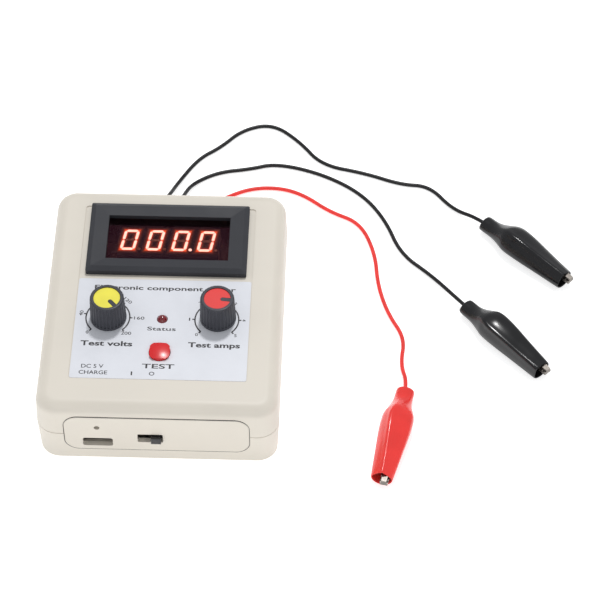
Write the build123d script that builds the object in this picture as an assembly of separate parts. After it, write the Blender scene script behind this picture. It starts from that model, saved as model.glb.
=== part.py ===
from build123d import *

import os
from math import atan, degrees, pi, radians, tan

# Battery-powered component tester. Millimetres, +Z up.
# Origin: middle of the case's footprint, on the surface that it stands on.
# +X is the user's right, -Y is the end with the power switch, +Y the end with the leads.

# ---------- case ----------
CASE_W = 116.2              # across, at the parting line
CASE_D = 139.0              # front to back, at the parting line
CASE_H = 40.0
PARTING_RISE = 0.5          # the joint between the shells is this far above the middle
CORNER_R = 10.5             # corners seen from above
TOP_FILLET = 6.0
BOTTOM_FILLET = 1.0
DRAFT = 2.5                 # degrees, both shells taper away from the parting line
WALL = 2.5
ROOF = 3.0
INNER_FILLET = 2.5
GROOVE_H = 0.4              # fine groove where the shells meet
GROOVE_DEPTH = 0.6
TONGUE_T = 1.0
TONGUE_H = 1.2
PARTING_Z = CASE_H / 2 + PARTING_RISE
FIT = 0.15                  # gap between moulded pieces that only locate each other
FACE_GAP = 0.05             # gap between pieces that rest on each other

# ---------- sunken face of the upper shell ----------
RECESS_SIDE = 3.1           # wider than the bezel by this much on each side
RECESS_D = 108.4
RECESS_DEPTH = 0.5
RECESS_R = 1.5
RECESS_Y = 3.1
LABEL_T = 0.2
LABEL_D = 61.2
LABEL_MARGIN = 0.4

# ---------- end panels ----------
PANEL_W = 88.4
PANEL_MARGIN = 7.55         # shell above and below the panel
PANEL_H = CASE_H - 2 * PANEL_MARGIN
PANEL_R = 7.0
PANEL_GAP = 0.25
PANEL_T = 2.6               # front panel's plate, in front of the hollow behind it
PANEL_RIM = 2.2             # thicker rim round that hollow
PANEL_INSET = 0.15          # panel face behind the widest part of the wall
PANEL_LIP = 2.0             # flange that stays behind the wall, all round
LIP_T = 1.2

# ---------- display ----------
BEZEL_EDGE = 0.15           # bezel to the far edge of the sunken face
BEZEL_W = 79.0
BEZEL_D = 44.0
BEZEL_T = 4.2
BEZEL_BEVEL = 2.4           # width of the slope round the frame
BEVEL_DROP = 1.3
BEZEL_DISH = 1.0            # the frame's face slopes in towards the window
BEZEL_OVER_W = 1.7          # the bezel laps over the hole by this much at the sides
BEZEL_OVER_D = 2.4          # and this much at its long edges
METER_BODY_DEPTH = 13.0     # below the sunken face
METER_WALL = 1.6
LEDGE_W = 6.0               # ledges round the window that the red filter sits against
LEDGE_D = 4.1
METER_BODY_W = BEZEL_W - 2 * BEZEL_OVER_W
METER_BODY_D = BEZEL_D - 2 * BEZEL_OVER_D
WINDOW_W = METER_BODY_W - 2 * METER_WALL - 2 * LEDGE_W
WINDOW_D = METER_BODY_D - 2 * METER_WALL - 2 * LEDGE_D
RECESS_W = BEZEL_W + 2 * RECESS_SIDE
FILTER_T = 1.2
FILTER_DROP = 3.4           # from the top of the bezel
BLOCK_T = 8.0
DIGITS = 4
DIGIT_PITCH = 12.7
DIGIT_SHIFT = (-0.3, 1.2)    # digits off the block's middle, to make room for the points
DIGIT_H = 13.0
BLOCK_W = DIGITS * DIGIT_PITCH - 0.5
BLOCK_D = DIGIT_H + 6.0
DIGIT_W = 7.4
SEGMENT = 1.3
SEGMENT_GAP = 0.4
SEGMENT_T = 0.15
SLANT = 9.0
POINT_R = 0.8
PCB_T = 1.6

# ---------- controls ----------
KNOB_AT = {"voltage": (-26.1, -13.7), "current": (26.9, -12.6)}
KNOB_R = 8.8
KNOB_TOP_R = 8.2
KNOB_H = 15.0
KNOB_LIFT = 0.4             # air under the knob
KNOB_RIBS = 30
KNOB_RIM = 0.5              # cap lies this far below the rim
KNOB_ROUND = 0.9
RIB_R = 0.6                 # grooves between the ribs
RIB_OUT = 0.25              # their middle lines lie this far outside the knob
RIB_FROM = 1.5              # they stop this far above the knob's foot
CAP_R = 6.4
CAP_T = 1.0
POINTER_W = 2.0
POINTER_FROM = 1.6          # inner end of the pointer, from the knob's axis
VOLTAGE_POINTER = -48.0     # degrees from +X, as set at rest
CURRENT_POINTER = -5.0
SHAFT_R = 3.0
RUNNING = 0.05              # radial clearance of a shaft in its bore
BUSHING_WALL = 0.5
BUSHING_R = SHAFT_R + BUSHING_WALL
BUSHING_UP = 6.0            # above the pot's own face
NUT_H = 2.0
NUT_AF = 2 * BUSHING_R + 3.0
POT_R = 8.25
POT_H = 9.0
BUTTON_Y = -34.4
BUTTON_R = 5.1
BUTTON_RISE = 1.5
BUTTON_DOME = 0.5
BUTTON_TRAVEL = 1.0
BUTTON_FLANGE_R = 6.2
LED_Y = -14.0
LED_R = 2.5
LED_RISE = 0.3
HOLE_GAP = 0.2

# ---------- front panel features ----------
USB_FROM_END = 15.8         # socket's middle from the panel's left end
USB_X = USB_FROM_END - PANEL_W / 2
USB_Z = 13.95
USB_SLOT_W = 14.4
USB_SLOT_H = 6.0
USB_W = 8.94
USB_H = 3.26
USB_L = 7.35
CHARGE_Z = 25.1
CHARGE_LED_R = 1.5
CHARGE_HOLE_R = 1.4
SWITCH_X = -3.2
SWITCH_Z = 17.6
SWITCH_SLOT_W = 12.2
SWITCH_SLOT_H = 6.2
LEVER_W = 4.8
LEVER_H = 4.4
LEVER_PROUD = 1.9
LEVER_END_GAP = 0.9         # lever to the slot's end when it is off

# ---------- leads ----------
WIRE_R = 1.0
GROMMET_FLANGE_R = 3.5
GROMMET_NECK_R = 2.5
GROMMET_BORE_R = WIRE_R + 0.5
GROMMET_LIP = 1.2
EXIT_Z = 14.0
LEAD_X = {"lead_black_a": -10.0, "lead_black_b": 0.0, "lead_red": 10.0}
FLOOR = 1.1                 # height of a wire's centre where it lies on the table
TERMINAL_INSET = 9.5        # rear face of the block that the wires go into, from the case's end

# Each route: from the terminal block straight out of the rear panel, down to the table
# and along it to the clip. The last two points are on the middle line of the clip's neck.
ROUTES = {
    "lead_black_a": [
        (-10, 60, 14), (-10, 79, 14), (-4.8, 93, 8), (-1, 108.5, FLOOR), (9, 126, FLOOR),
        (20, 134, FLOOR), (31, 147, FLOOR), (47, 152, FLOOR), (62, 139.5, FLOOR),
        (74, 123, FLOOR), (97, 118, FLOOR), (116, 110.5, FLOOR), (131, 110, FLOOR),
        (143, 94, FLOOR), (156.09, 85.49, 4.5), (164.09, 77.95, 4.5),
    ],
    "lead_black_b": [
        (0, 60, 14), (0, 79, 14), (2.6, 94, 7), (6.5, 108, FLOOR), (20, 116.5, FLOOR),
        (36, 119, FLOOR), (50, 123.5, FLOOR), (74, 117, FLOOR), (95, 104, FLOOR),
        (108, 86, FLOOR), (116, 63, FLOOR), (132, 49, FLOOR), (145.8, 30.15, 4.5),
        (153.23, 22.04, 4.5),
    ],
    "lead_red": [
        (10, 60, 14), (10, 76, 14), (14.5, 86, 7), (23, 98, FLOOR), (37, 105.5, FLOOR),
        (52, 106.5, FLOOR), (65, 102, FLOOR), (79, 90.5, FLOOR), (95, 83.5, FLOOR),
        (103, 63, FLOOR), (104.5, 42, FLOOR), (110, 23, FLOOR), (118.5, 8, FLOOR),
        (116.3, -8.5, FLOOR), (119.83, -22.99, 4.5), (117.54, -33.75, 4.5),
    ],
}

# ---------- clips: where the neck ends, and the heading in degrees from +X ----------
CLIPS = {
    "clip_black_a": (159.0, 82.75, -43.3),
    "clip_black_b": (148.5, 27.2, -47.5),
    "clip_red": (119.0, -26.9, -102.0),
}
# Boot sections: distance from the neck's end, height of the middle, half width, half height
BOOT = [
    (0.0, 4.5, 4.3, 3.4), (1.2, 4.5, 4.7, 3.6), (6.5, 4.6, 4.6, 3.7), (10.0, 5.2, 5.1, 4.4),
    (13.5, 6.2, 6.2, 5.7), (17.0, 7.0, 7.5, 6.8), (21.0, 7.3, 8.2, 7.2), (27.0, 7.2, 8.1, 7.1),
    (36.0, 6.5, 7.2, 6.4), (45.0, 5.8, 6.3, 5.7), (55.0, 5.2, 5.4, 5.1),
]
BOOT_WALL = 0.9
NECK_BORE_R = WIRE_R + 0.3
CRIMP_X = 7.0               # end of the wire, inside the boot
JAW_SIDE = 1.6              # the jaws lie to one side of the boot's mouth
JAW_Z = 6.4                 # the line where the jaws meet
JAW_TIP = 58.0
TAPER_FROM = 34.0           # jaws narrow from here to their tips
TIP_NARROWER = 2.2          # widths at the tips are smaller by this much
PIVOT_X = 29.0
PIN_R = 0.8
SHEET = 0.6
LOWER_JAW_W = 6.0
UPPER_JAW_W = 4.7
EAR_R = 2.2
JAW_GAP = 0.15
TEETH = 6
TOOTH = 1.2

# ---------- inside ----------
BOARD_Z = 6.5
BOARD_W = 86.0
BOARD_D = 83.0
BOARD_INSET = 7.5           # board's rear edge from the case's end
BOARD_SCREW_INSET = (4.5, 5.0)
BOARD_BACK = CASE_D / 2 - BOARD_INSET
BOARD_FRONT = BOARD_BACK - BOARD_D
BOARD_SCREW_X = BOARD_W / 2 - BOARD_SCREW_INSET[0]
BOARD_SCREW_Y = (BOARD_FRONT + BOARD_SCREW_INSET[1], BOARD_BACK - BOARD_SCREW_INSET[1])
BOSS_R = 3.5
BOSS_HOLE_R = 1.2
CASE_SCREW_INSET = (10.0, 12.0)
CASE_SCREW_X = CASE_W / 2 - CASE_SCREW_INSET[0]
CASE_SCREW_Y = CASE_D / 2 - CASE_SCREW_INSET[1]
CASE_BOSS_R = 4.2
CASE_SCREW_R = 1.45
SCREW_HEAD_R = 2.8
SCREW_HEAD_T = 2.0
SCREW_SINK = 3.5
THREAD_GAP = 0.02
CELL_R = 9.2
CELL_L = 65.0
CELL_Y = -38.0
HOLDER_WALL = 1.2
CONTACT_ROOM = 4.8          # for the spring contacts at each end of the cell
HOLDER_L = CELL_L + 2 * CONTACT_ROOM + 2 * HOLDER_WALL
HOLDER_W = 2 * CELL_R + 2 * HOLDER_WALL + 0.2
CONTROL_RISE = 2.8          # board above the cell
CONTROL_BOARD_W = 16.0
POST_R = 2.5
CHARGE_BOARD_D = 14.0

FACE_Z = CASE_H - RECESS_DEPTH          # sunken face
METER_Y = RECESS_Y + RECESS_D / 2 - BEZEL_EDGE - BEZEL_D / 2
ROOF_Z = CASE_H - ROOF                  # underside of the roof
PANEL_Y = CASE_D / 2 - PANEL_INSET      # outer face of either end panel
CELL_TOP_Z = WALL + 2 * FACE_GAP + HOLDER_WALL + 2 * CELL_R
CONTROL_BOARD_Z = CELL_TOP_Z + CONTROL_RISE
TERMINAL_Y = CASE_D / 2 - TERMINAL_INSET
LIP_DROP = (PANEL_H / 2 + PANEL_LIP) * tan(radians(DRAFT))
LIP_Y = CASE_D / 2 - WALL - LIP_DROP - FACE_GAP
PANEL_BACK_Y = LIP_Y - LIP_T
USB_BOARD_Z = USB_Z - USB_H / 2 - PCB_T
SLOT_RIGHT = SWITCH_X + SWITCH_SLOT_W / 2
LEVER_X = SLOT_RIGHT - LEVER_END_GAP - LEVER_W / 2
LEVER_TRAVEL = SWITCH_SLOT_W - LEVER_W - 2 * LEVER_END_GAP
METER_BASE_Z = FACE_Z - METER_BODY_DEPTH
BLOCK_TOP_Z = FACE_Z + BEZEL_T - FILTER_DROP - FILTER_T - 0.3
BLOCK_BASE_Z = BLOCK_TOP_Z - BLOCK_T


# ---------- helpers ----------
def block(x0, x1, y0, y1, z0, z1):
    """Box between two corners."""
    return Pos((x0 + x1) / 2, (y0 + y1) / 2, (z0 + z1) / 2) * Box(x1 - x0, y1 - y0, z1 - z0)


def rod(x, y, z0, z1, r):
    """Upright cylinder."""
    return Pos(x, y, (z0 + z1) / 2) * Cylinder(r, z1 - z0)


def rod_y(x, y0, y1, z, r):
    """Cylinder along Y."""
    return Pos(x, (y0 + y1) / 2, z) * Rot(90, 0, 0) * Cylinder(r, y1 - y0)


def plate(w, d, r, x, y, z0, z1):
    """Flat plate with rounded corners, seen from above."""
    return Pos(x, y, z0) * extrude(RectangleRounded(w, d, r), z1 - z0)


def upright(w, h, r, x, z, y0, y1):
    """Plate with rounded corners that stands across Y."""
    outline = RectangleRounded(w, h, r)
    return Pos(x, y1, z) * Rot(90, 0, 0) * extrude(outline, y1 - y0)


def half_form(inset, height, up, edge_fillet):
    """One half of the case's form, from the parting plane up or down."""
    base = Plane((0, 0, PARTING_Z), z_dir=(0, 0, 1 if up else -1))
    outline = RectangleRounded(CASE_W - 2 * inset, CASE_D - 2 * inset, CORNER_R - inset)
    form = extrude(base * outline, height, taper=DRAFT)
    face = form.faces().sort_by(Axis.Z)[-1 if up else 0]
    return fillet(face.edges(), edge_fillet)


def parting_groove():
    """Ring cut out of the lower shell's upper edge: the fine dark line round the case."""
    inner_w, inner_d = CASE_W - 2 * GROOVE_DEPTH, CASE_D - 2 * GROOVE_DEPTH
    ring = Rectangle(CASE_W + 2, CASE_D + 2) - RectangleRounded(inner_w, inner_d, CORNER_R - GROOVE_DEPTH)
    return Pos(0, 0, PARTING_Z - GROOVE_H) * extrude(ring, GROOVE_H)


def export(name, shape):
    """Write one node."""
    export_step(shape, os.path.join("parts", name + ".step"))


# ---------- case ----------
def panel_openings():
    """Holes in the end walls, one through each end."""
    gap = 2 * PANEL_GAP
    hole = upright(PANEL_W + gap, PANEL_H + gap, PANEL_R + PANEL_GAP, 0, PARTING_Z, -CASE_D, CASE_D)
    return hole - block(-CASE_W, CASE_W, -LIP_Y + 8, LIP_Y - 8, 0, CASE_H)


def tongue(outer_inset, inner_inset, z0, z1):
    """Ring that locates one shell in the other, broken where the end panels are."""
    outer = RectangleRounded(CASE_W - 2 * outer_inset, CASE_D - 2 * outer_inset, CORNER_R - outer_inset)
    inner = RectangleRounded(CASE_W - 2 * inner_inset, CASE_D - 2 * inner_inset, CORNER_R - inner_inset)
    ring = Pos(0, 0, z0) * extrude(outer - inner, z1 - z0)
    half = PANEL_W / 2 + PANEL_LIP + 1.0
    return ring - block(-half, half, -CASE_D, CASE_D, z0 - 1, z1 + 1)


def panel_ribs(z0, z1):
    """Short ribs behind each end panel's flange."""
    ribs = Part()
    for end in (-1, 1):
        for x in (10.0 - PANEL_W / 2, PANEL_W / 2 - 10.0):
            y0 = end * (PANEL_BACK_Y - FACE_GAP)
            y1 = end * (PANEL_BACK_Y - FACE_GAP - 1.5)
            ribs += block(x - 4, x + 4, min(y0, y1), max(y0, y1), z0, z1)
    return ribs


def lower_shell():
    """Bottom shell, with bosses for the boards and the case screws."""
    floor_z = WALL
    shell = half_form(0, PARTING_Z, False, BOTTOM_FILLET)
    shell -= parting_groove()
    shell -= half_form(WALL, PARTING_Z - floor_z, False, INNER_FILLET)
    shell += tongue(WALL - TONGUE_T, WALL, PARTING_Z, PARTING_Z + TONGUE_H)
    shell -= panel_openings()
    for x in (-BOARD_SCREW_X, BOARD_SCREW_X):
        for y in BOARD_SCREW_Y:
            shell += rod(x, y, floor_z - 0.5, BOARD_Z - FACE_GAP, BOSS_R)
            shell -= rod(x, y, floor_z, BOARD_Z, BOSS_HOLE_R + THREAD_GAP)
    for x in charge_board_screws():
        shell += rod(x, CHARGE_SCREW_Y, floor_z - 0.5, USB_BOARD_Z - FACE_GAP, 2.6)
        shell -= rod(x, CHARGE_SCREW_Y, floor_z + 2, USB_BOARD_Z, BOSS_HOLE_R + THREAD_GAP)
    for x, y in case_screw_places():
        shell += rod(x, y, floor_z - 0.5, PARTING_Z - FACE_GAP, CASE_BOSS_R)
        shell -= rod(x, y, -1, PARTING_Z, CASE_SCREW_R + HOLE_GAP)
        shell -= rod(x, y, -1, SCREW_SINK, SCREW_HEAD_R + HOLE_GAP)
    shell += panel_ribs(floor_z - 0.5, floor_z + 5)
    return shell


def upper_shell():
    """Top shell, with the sunken face and its holes."""
    shell = half_form(0, CASE_H - PARTING_Z, True, TOP_FILLET)
    shell -= half_form(WALL, ROOF_Z - PARTING_Z, True, INNER_FILLET)
    shell -= tongue(WALL - TONGUE_T - FIT, WALL, PARTING_Z - 1, PARTING_Z + TONGUE_H + FIT)
    shell -= plate(RECESS_W, RECESS_D, RECESS_R, 0, RECESS_Y, FACE_Z, CASE_H + 1)
    shell -= panel_openings()
    cut_w = METER_BODY_W + 2 * FIT
    cut_d = METER_BODY_D + 2 * FIT
    shell -= plate(cut_w, cut_d, 1.0, 0, METER_Y, PARTING_Z, CASE_H)
    for x, y in KNOB_AT.values():
        shell -= rod(x, y, ROOF_Z - 1, CASE_H, BUSHING_R + FIT)
    shell -= rod(0, LED_Y, ROOF_Z - 1, CASE_H, LED_R + FIT)
    shell -= rod(0, BUTTON_Y, ROOF_Z - 1, CASE_H, BUTTON_R + HOLE_GAP)
    for y in control_posts():
        shell += rod(0, y, CONTROL_BOARD_Z + PCB_T + FACE_GAP, ROOF_Z + 0.5, POST_R)
        shell -= rod(0, y, CONTROL_BOARD_Z, ROOF_Z - 1.5, BOSS_HOLE_R + THREAD_GAP)
    for x, y in case_screw_places():
        shell += rod(x, y, PARTING_Z + FACE_GAP, ROOF_Z + 0.5, CASE_BOSS_R)
        shell -= rod(x, y, PARTING_Z, ROOF_Z - 1.5, CASE_SCREW_R + THREAD_GAP)
    shell += panel_ribs(ROOF_Z - 5, ROOF_Z + 0.5)
    return shell


def case_screw_places():
    """The four corners."""
    return [(x, y) for x in (-CASE_SCREW_X, CASE_SCREW_X) for y in (-CASE_SCREW_Y, CASE_SCREW_Y)]


def end_panel():
    """Blank end panel, outer face towards -Y: the visible plate and its hidden flange."""
    pad = upright(PANEL_W, PANEL_H, PANEL_R, 0, PARTING_Z, -PANEL_Y, -LIP_Y + 0.5)
    lip_w = PANEL_W + 2 * PANEL_LIP
    lip_h = PANEL_H + 2 * PANEL_LIP
    lip = upright(lip_w, lip_h, PANEL_R + PANEL_LIP, 0, PARTING_Z, -LIP_Y, -PANEL_BACK_Y)
    pad = chamfer(pad.faces().sort_by(Axis.Y)[0].edges(), 0.3)
    return pad + lip


def front_panel():
    """Panel with the charging slot, the charge light's hole and the switch slot."""
    panel = end_panel()
    hollow_w = PANEL_W - 2 * PANEL_RIM
    hollow_h = PANEL_H - 2 * PANEL_RIM
    panel -= upright(hollow_w, hollow_h, 1.0, 0, PARTING_Z, PANEL_T - PANEL_Y, 0)
    y0, y1 = -CASE_D, -PANEL_BACK_Y + 1
    panel -= upright(USB_SLOT_W, USB_SLOT_H, 1.2, USB_X, USB_Z, y0, y1)
    panel -= upright(SWITCH_SLOT_W, SWITCH_SLOT_H, 0.8, SWITCH_X, SWITCH_Z, y0, y1)
    panel -= rod_y(USB_X, y0, y1, CHARGE_Z, CHARGE_HOLE_R)
    return panel


def rear_panel():
    """Panel with the three lead holes."""
    panel = Rot(0, 0, 180) * end_panel()
    for x in LEAD_X.values():
        panel -= rod_y(x, PANEL_BACK_Y - 1, CASE_D, EXIT_Z, GROMMET_NECK_R + FACE_GAP)
    return panel


def face_label():
    """Printed sheet stuck in the sunken face."""
    w = RECESS_W - 2 * LABEL_MARGIN
    y0 = RECESS_Y - RECESS_D / 2 + LABEL_MARGIN
    sheet = plate(w, LABEL_D, 1.0, 0, y0 + LABEL_D / 2, FACE_Z, FACE_Z + LABEL_T)
    for x, y in KNOB_AT.values():
        sheet -= rod(x, y, FACE_Z - 1, CASE_H, NUT_AF / 2 + 0.9)
    sheet -= rod(0, LED_Y, FACE_Z - 1, CASE_H, LED_R + FIT)
    sheet -= rod(0, BUTTON_Y, FACE_Z - 1, CASE_H, BUTTON_R + HOLE_GAP)
    return sheet


def screw(x, y, head_z, tip_z, r, head_r, head_t):
    """Round-head screw. Its head is at head_z and it points at tip_z."""
    way = 1 if tip_z > head_z else -1
    z0, z1 = sorted((head_z, head_z + way * head_t))
    body = rod(x, y, z0, z1, head_r)
    z0, z1 = sorted((head_z + way * head_t, tip_z))
    body += rod(x, y, z0, z1, r)
    cross = block(x - head_r * 0.6, x + head_r * 0.6, y - 0.3, y + 0.3, -0.5, 0.5)
    cross += block(x - 0.3, x + 0.3, y - head_r * 0.6, y + head_r * 0.6, -0.5, 0.5)
    return body - Pos(0, 0, head_z) * cross


def case_screws():
    """Four screws, from below into the upper shell's bosses."""
    head_z = SCREW_SINK - SCREW_HEAD_T - FACE_GAP
    parts = [
        screw(x, y, head_z, ROOF_Z - 3, CASE_SCREW_R, SCREW_HEAD_R, SCREW_HEAD_T)
        for x, y in case_screw_places()
    ]
    return Compound(parts)


# ---------- display ----------
def meter_bezel():
    """Housing of the display: a frame that slopes in to the window, and a body below."""
    base = FACE_Z + FACE_GAP
    top = FACE_Z + BEZEL_T
    rim_w = BEZEL_W - 2 * BEZEL_BEVEL
    rim_d = BEZEL_D - 2 * BEZEL_BEVEL
    frame = plate(BEZEL_W, BEZEL_D, 1.0, 0, METER_Y, base, top - BEVEL_DROP)
    frame += loft([
        Pos(0, METER_Y, top - BEVEL_DROP) * RectangleRounded(BEZEL_W, BEZEL_D, 1.0),
        Pos(0, METER_Y, top) * RectangleRounded(rim_w, rim_d, 0.5),
    ], ruled=True)
    dish = loft([
        Pos(0, METER_Y, top - BEZEL_DISH) * Rectangle(WINDOW_W, WINDOW_D),
        Pos(0, METER_Y, top) * Rectangle(rim_w, rim_d),
    ])
    frame -= dish
    frame += plate(METER_BODY_W, METER_BODY_D, 0.8, 0, METER_Y, METER_BASE_Z, base + 0.5)
    inner_w = METER_BODY_W - 2 * METER_WALL
    inner_d = METER_BODY_D - 2 * METER_WALL
    ledge = BLOCK_TOP_Z + 0.3 - FACE_GAP
    frame -= block(
        -inner_w / 2, inner_w / 2, METER_Y - inner_d / 2, METER_Y + inner_d / 2,
        METER_BASE_Z - 1, ledge + FILTER_T + 2 * FACE_GAP,
    )
    frame -= block(
        -WINDOW_W / 2, WINDOW_W / 2, METER_Y - WINDOW_D / 2, METER_Y + WINDOW_D / 2, ledge, top + 1,
    )
    for side in (-1, 1):
        x = side * (METER_BODY_W / 2 + 0.5)
        tab = block(x - 0.55, x + 0.55, METER_Y - 6, METER_Y + 6, ROOF_Z - 4, ROOF_Z - 0.2)
        frame += tab
    return frame


def display_filter():
    """Red window."""
    z0 = BLOCK_TOP_Z + 0.3
    w = METER_BODY_W - 2 * METER_WALL - 2 * FIT
    d = METER_BODY_D - 2 * METER_WALL - 2 * FIT
    return plate(w, d, 0.5, 0, METER_Y, z0, z0 + FILTER_T)


def display_block():
    """Four-digit light module."""
    return plate(BLOCK_W, BLOCK_D, 0.4, 0, METER_Y, BLOCK_BASE_Z, BLOCK_TOP_Z)


def bar(length, x, y, upright_bar):
    """Corner points of one segment, a bar with pointed ends, in an unslanted digit."""
    half = length / 2 - SEGMENT_GAP / 2
    thick = SEGMENT / 2
    outline = [
        (-half, 0), (-half + thick, thick), (half - thick, thick),
        (half, 0), (half - thick, -thick), (-half + thick, -thick),
    ]
    if upright_bar:
        outline = [(-v, u) for u, v in outline]
    return [(u + x, v + y) for u, v in outline]


def segment_outlines():
    """Outlines of the seven segments by letter, round the digit's middle."""
    w, h = DIGIT_W - SEGMENT, (DIGIT_H - SEGMENT) / 2
    return {
        "a": bar(w, 0, h, False), "g": bar(w, 0, 0, False), "d": bar(w, 0, -h, False),
        "f": bar(h, -w / 2, h / 2, True), "b": bar(h, w / 2, h / 2, True),
        "e": bar(h, -w / 2, -h / 2, True), "c": bar(h, w / 2, -h / 2, True),
    }


def digit_x(digit):
    """Middle of a digit."""
    return (digit - (DIGITS - 1) / 2) * DIGIT_PITCH + DIGIT_SHIFT[0]


def segment_solid(outline, digit):
    """Thin solid of one segment, leaning like its digit."""
    lean = tan(radians(SLANT))
    y = METER_Y + DIGIT_SHIFT[1]
    corners = [(u + lean * v + digit_x(digit), v + y) for u, v in outline]
    face = make_face(Polyline(*corners, close=True))
    return Pos(0, 0, BLOCK_TOP_Z) * extrude(face, SEGMENT_T)


def segments(lit):
    """The lit or the dark segments and points, as shown: noughts with one point."""
    parts = [
        segment_solid(outline, digit)
        for digit in range(DIGITS)
        for letter, outline in segment_outlines().items() if (letter != "g") == lit
    ]
    point_y = METER_Y + DIGIT_SHIFT[1] - DIGIT_H / 2 + POINT_R
    for digit in range(DIGITS):
        if (digit == DIGITS - 2) == lit:
            x = digit_x(digit) + DIGIT_W / 2 + 1.2
            parts.append(rod(x, point_y, BLOCK_TOP_Z, BLOCK_TOP_Z + SEGMENT_T, POINT_R))
    return Compound(parts)


def meter_board():
    """Driver board under the light module."""
    z1 = BLOCK_BASE_Z - FACE_GAP
    w = METER_BODY_W - 2 * METER_WALL - 1.0
    d = METER_BODY_D - 2 * METER_WALL - 1.0
    return plate(w, d, 0.8, 0, METER_Y, z1 - PCB_T, z1)


# ---------- knobs ----------
KNOB_Z = FACE_Z + LABEL_T + KNOB_LIFT
POT_TOP_Z = ROOF_Z - FACE_GAP
POCKET_Z = KNOB_Z + KNOB_H - KNOB_RIM - CAP_T


def pointer_bar(pointer, grow, z0, z1):
    """Bar from near the knob's axis to the edge of its pocket, rounded at the inner end."""
    half = POINTER_W / 2 + grow
    start = POINTER_FROM + POINTER_W / 2
    bar = block(start, CAP_R + 0.4, -half, half, z0, z1) + rod(start, 0, z0, z1, half)
    return Rot(0, 0, pointer) * bar


def knob(at, pointer):
    """Ribbed knob with a pocket for its coloured cap and a pointer bar across the pocket."""
    top = KNOB_Z + KNOB_H
    body = Pos(0, 0, KNOB_Z + KNOB_H / 2) * Cone(KNOB_R, KNOB_TOP_R, KNOB_H)
    body = fillet(body.faces().sort_by(Axis.Z)[-1].edges(), KNOB_ROUND)
    lean = degrees(atan((KNOB_R - KNOB_TOP_R) / KNOB_H))
    groove = Pos(KNOB_R + RIB_OUT, 0, KNOB_Z) * Rot(0, -lean, 0) * rod(0, 0, RIB_FROM, KNOB_H + 2, RIB_R)
    for i in range(KNOB_RIBS):
        body -= Rot(0, 0, i * 360 / KNOB_RIBS) * groove
    body -= rod(0, 0, POCKET_Z, top + 1, CAP_R + 0.1)
    body += pointer_bar(pointer, 0, POCKET_Z - 0.5, POCKET_Z + CAP_T)
    body -= rod(0, 0, KNOB_Z - 1, POCKET_Z - 1.5, SHAFT_R + FACE_GAP)
    skirt = BUSHING_UP + ROOF_Z - KNOB_Z + 0.5
    body -= rod(0, 0, KNOB_Z - 1, KNOB_Z + skirt, NUT_AF / 2 + 1.2)
    return Pos(*at, 0) * body


def knob_cap(at, pointer):
    """Coloured disc with the slot that the pointer bar shows through."""
    disc = rod(0, 0, POCKET_Z + FACE_GAP, POCKET_Z + CAP_T, CAP_R)
    disc -= pointer_bar(pointer, 0.1, POCKET_Z, POCKET_Z + 2)
    return Pos(*at, 0) * disc


def pot_shaft(at):
    """Shaft with its wiper disc, which keeps it in the pot."""
    z0 = POT_TOP_Z - 5.0
    shaft = rod(0, 0, z0, POCKET_Z - 1.6, SHAFT_R)
    shaft += rod(0, 0, z0 - 1.5, z0, 6.0)
    return Pos(*at, 0) * shaft


def pot(at):
    """Potentiometer: body, threaded bushing and legs."""
    z1 = POT_TOP_Z
    z0 = z1 - POT_H
    body = rod(0, 0, z0, z1, POT_R) + rod(0, 0, z1, z1 + BUSHING_UP, BUSHING_R)
    body -= rod(0, 0, z1 - 5.0, z1 + BUSHING_UP + 1, SHAFT_R + RUNNING)
    body -= rod(0, 0, z1 - 6.8, z1 - 4.8, 6.3)
    for i in (-1, 0, 1):
        body += block(i * 5.0 - 0.6, i * 5.0 + 0.6, POT_R - 2.5, POT_R + 3.0, z0 + 0.6, z0 + 1.0)
    return Pos(*at, 0) * body


def pot_nut(at):
    """Hexagon nut on the bushing, on the sunken face and inside the knob's skirt."""
    z0 = FACE_Z + FACE_GAP
    nut = Pos(0, 0, z0) * extrude(RegularPolygon(NUT_AF / 2, 6, major_radius=False), NUT_H)
    nut -= rod(0, 0, z0 - 1, z0 + NUT_H + 1, BUSHING_R + THREAD_GAP)
    return Pos(*at, 0) * nut


# ---------- button, indicator and their board ----------
SWITCH_TOP_Z = CONTROL_BOARD_Z + PCB_T + FACE_GAP + 4.3


def control_posts():
    """Y of the two posts that carry the board."""
    return (BUTTON_Y - 11.5, BUTTON_Y + 11.5)


def control_board():
    """Small board under the face, for the start switch and the indicator."""
    y0 = BUTTON_Y - 15.0
    y1 = LED_Y + 5.0
    half = CONTROL_BOARD_W / 2
    board = block(-half, half, y0, y1, CONTROL_BOARD_Z, CONTROL_BOARD_Z + PCB_T)
    for y in control_posts():
        board -= rod(0, y, CONTROL_BOARD_Z - 1, CONTROL_BOARD_Z + 3, BOSS_HOLE_R + HOLE_GAP)
    return board


def start_switch():
    """Momentary switch on the board, with a bore for the button's stem."""
    z0 = CONTROL_BOARD_Z + PCB_T + FACE_GAP
    body = block(-6, 6, BUTTON_Y - 6, BUTTON_Y + 6, z0, SWITCH_TOP_Z)
    body -= rod(0, BUTTON_Y, z0 + 1.0, SWITCH_TOP_Z + 1, 1.75 + RUNNING)
    return body


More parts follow.
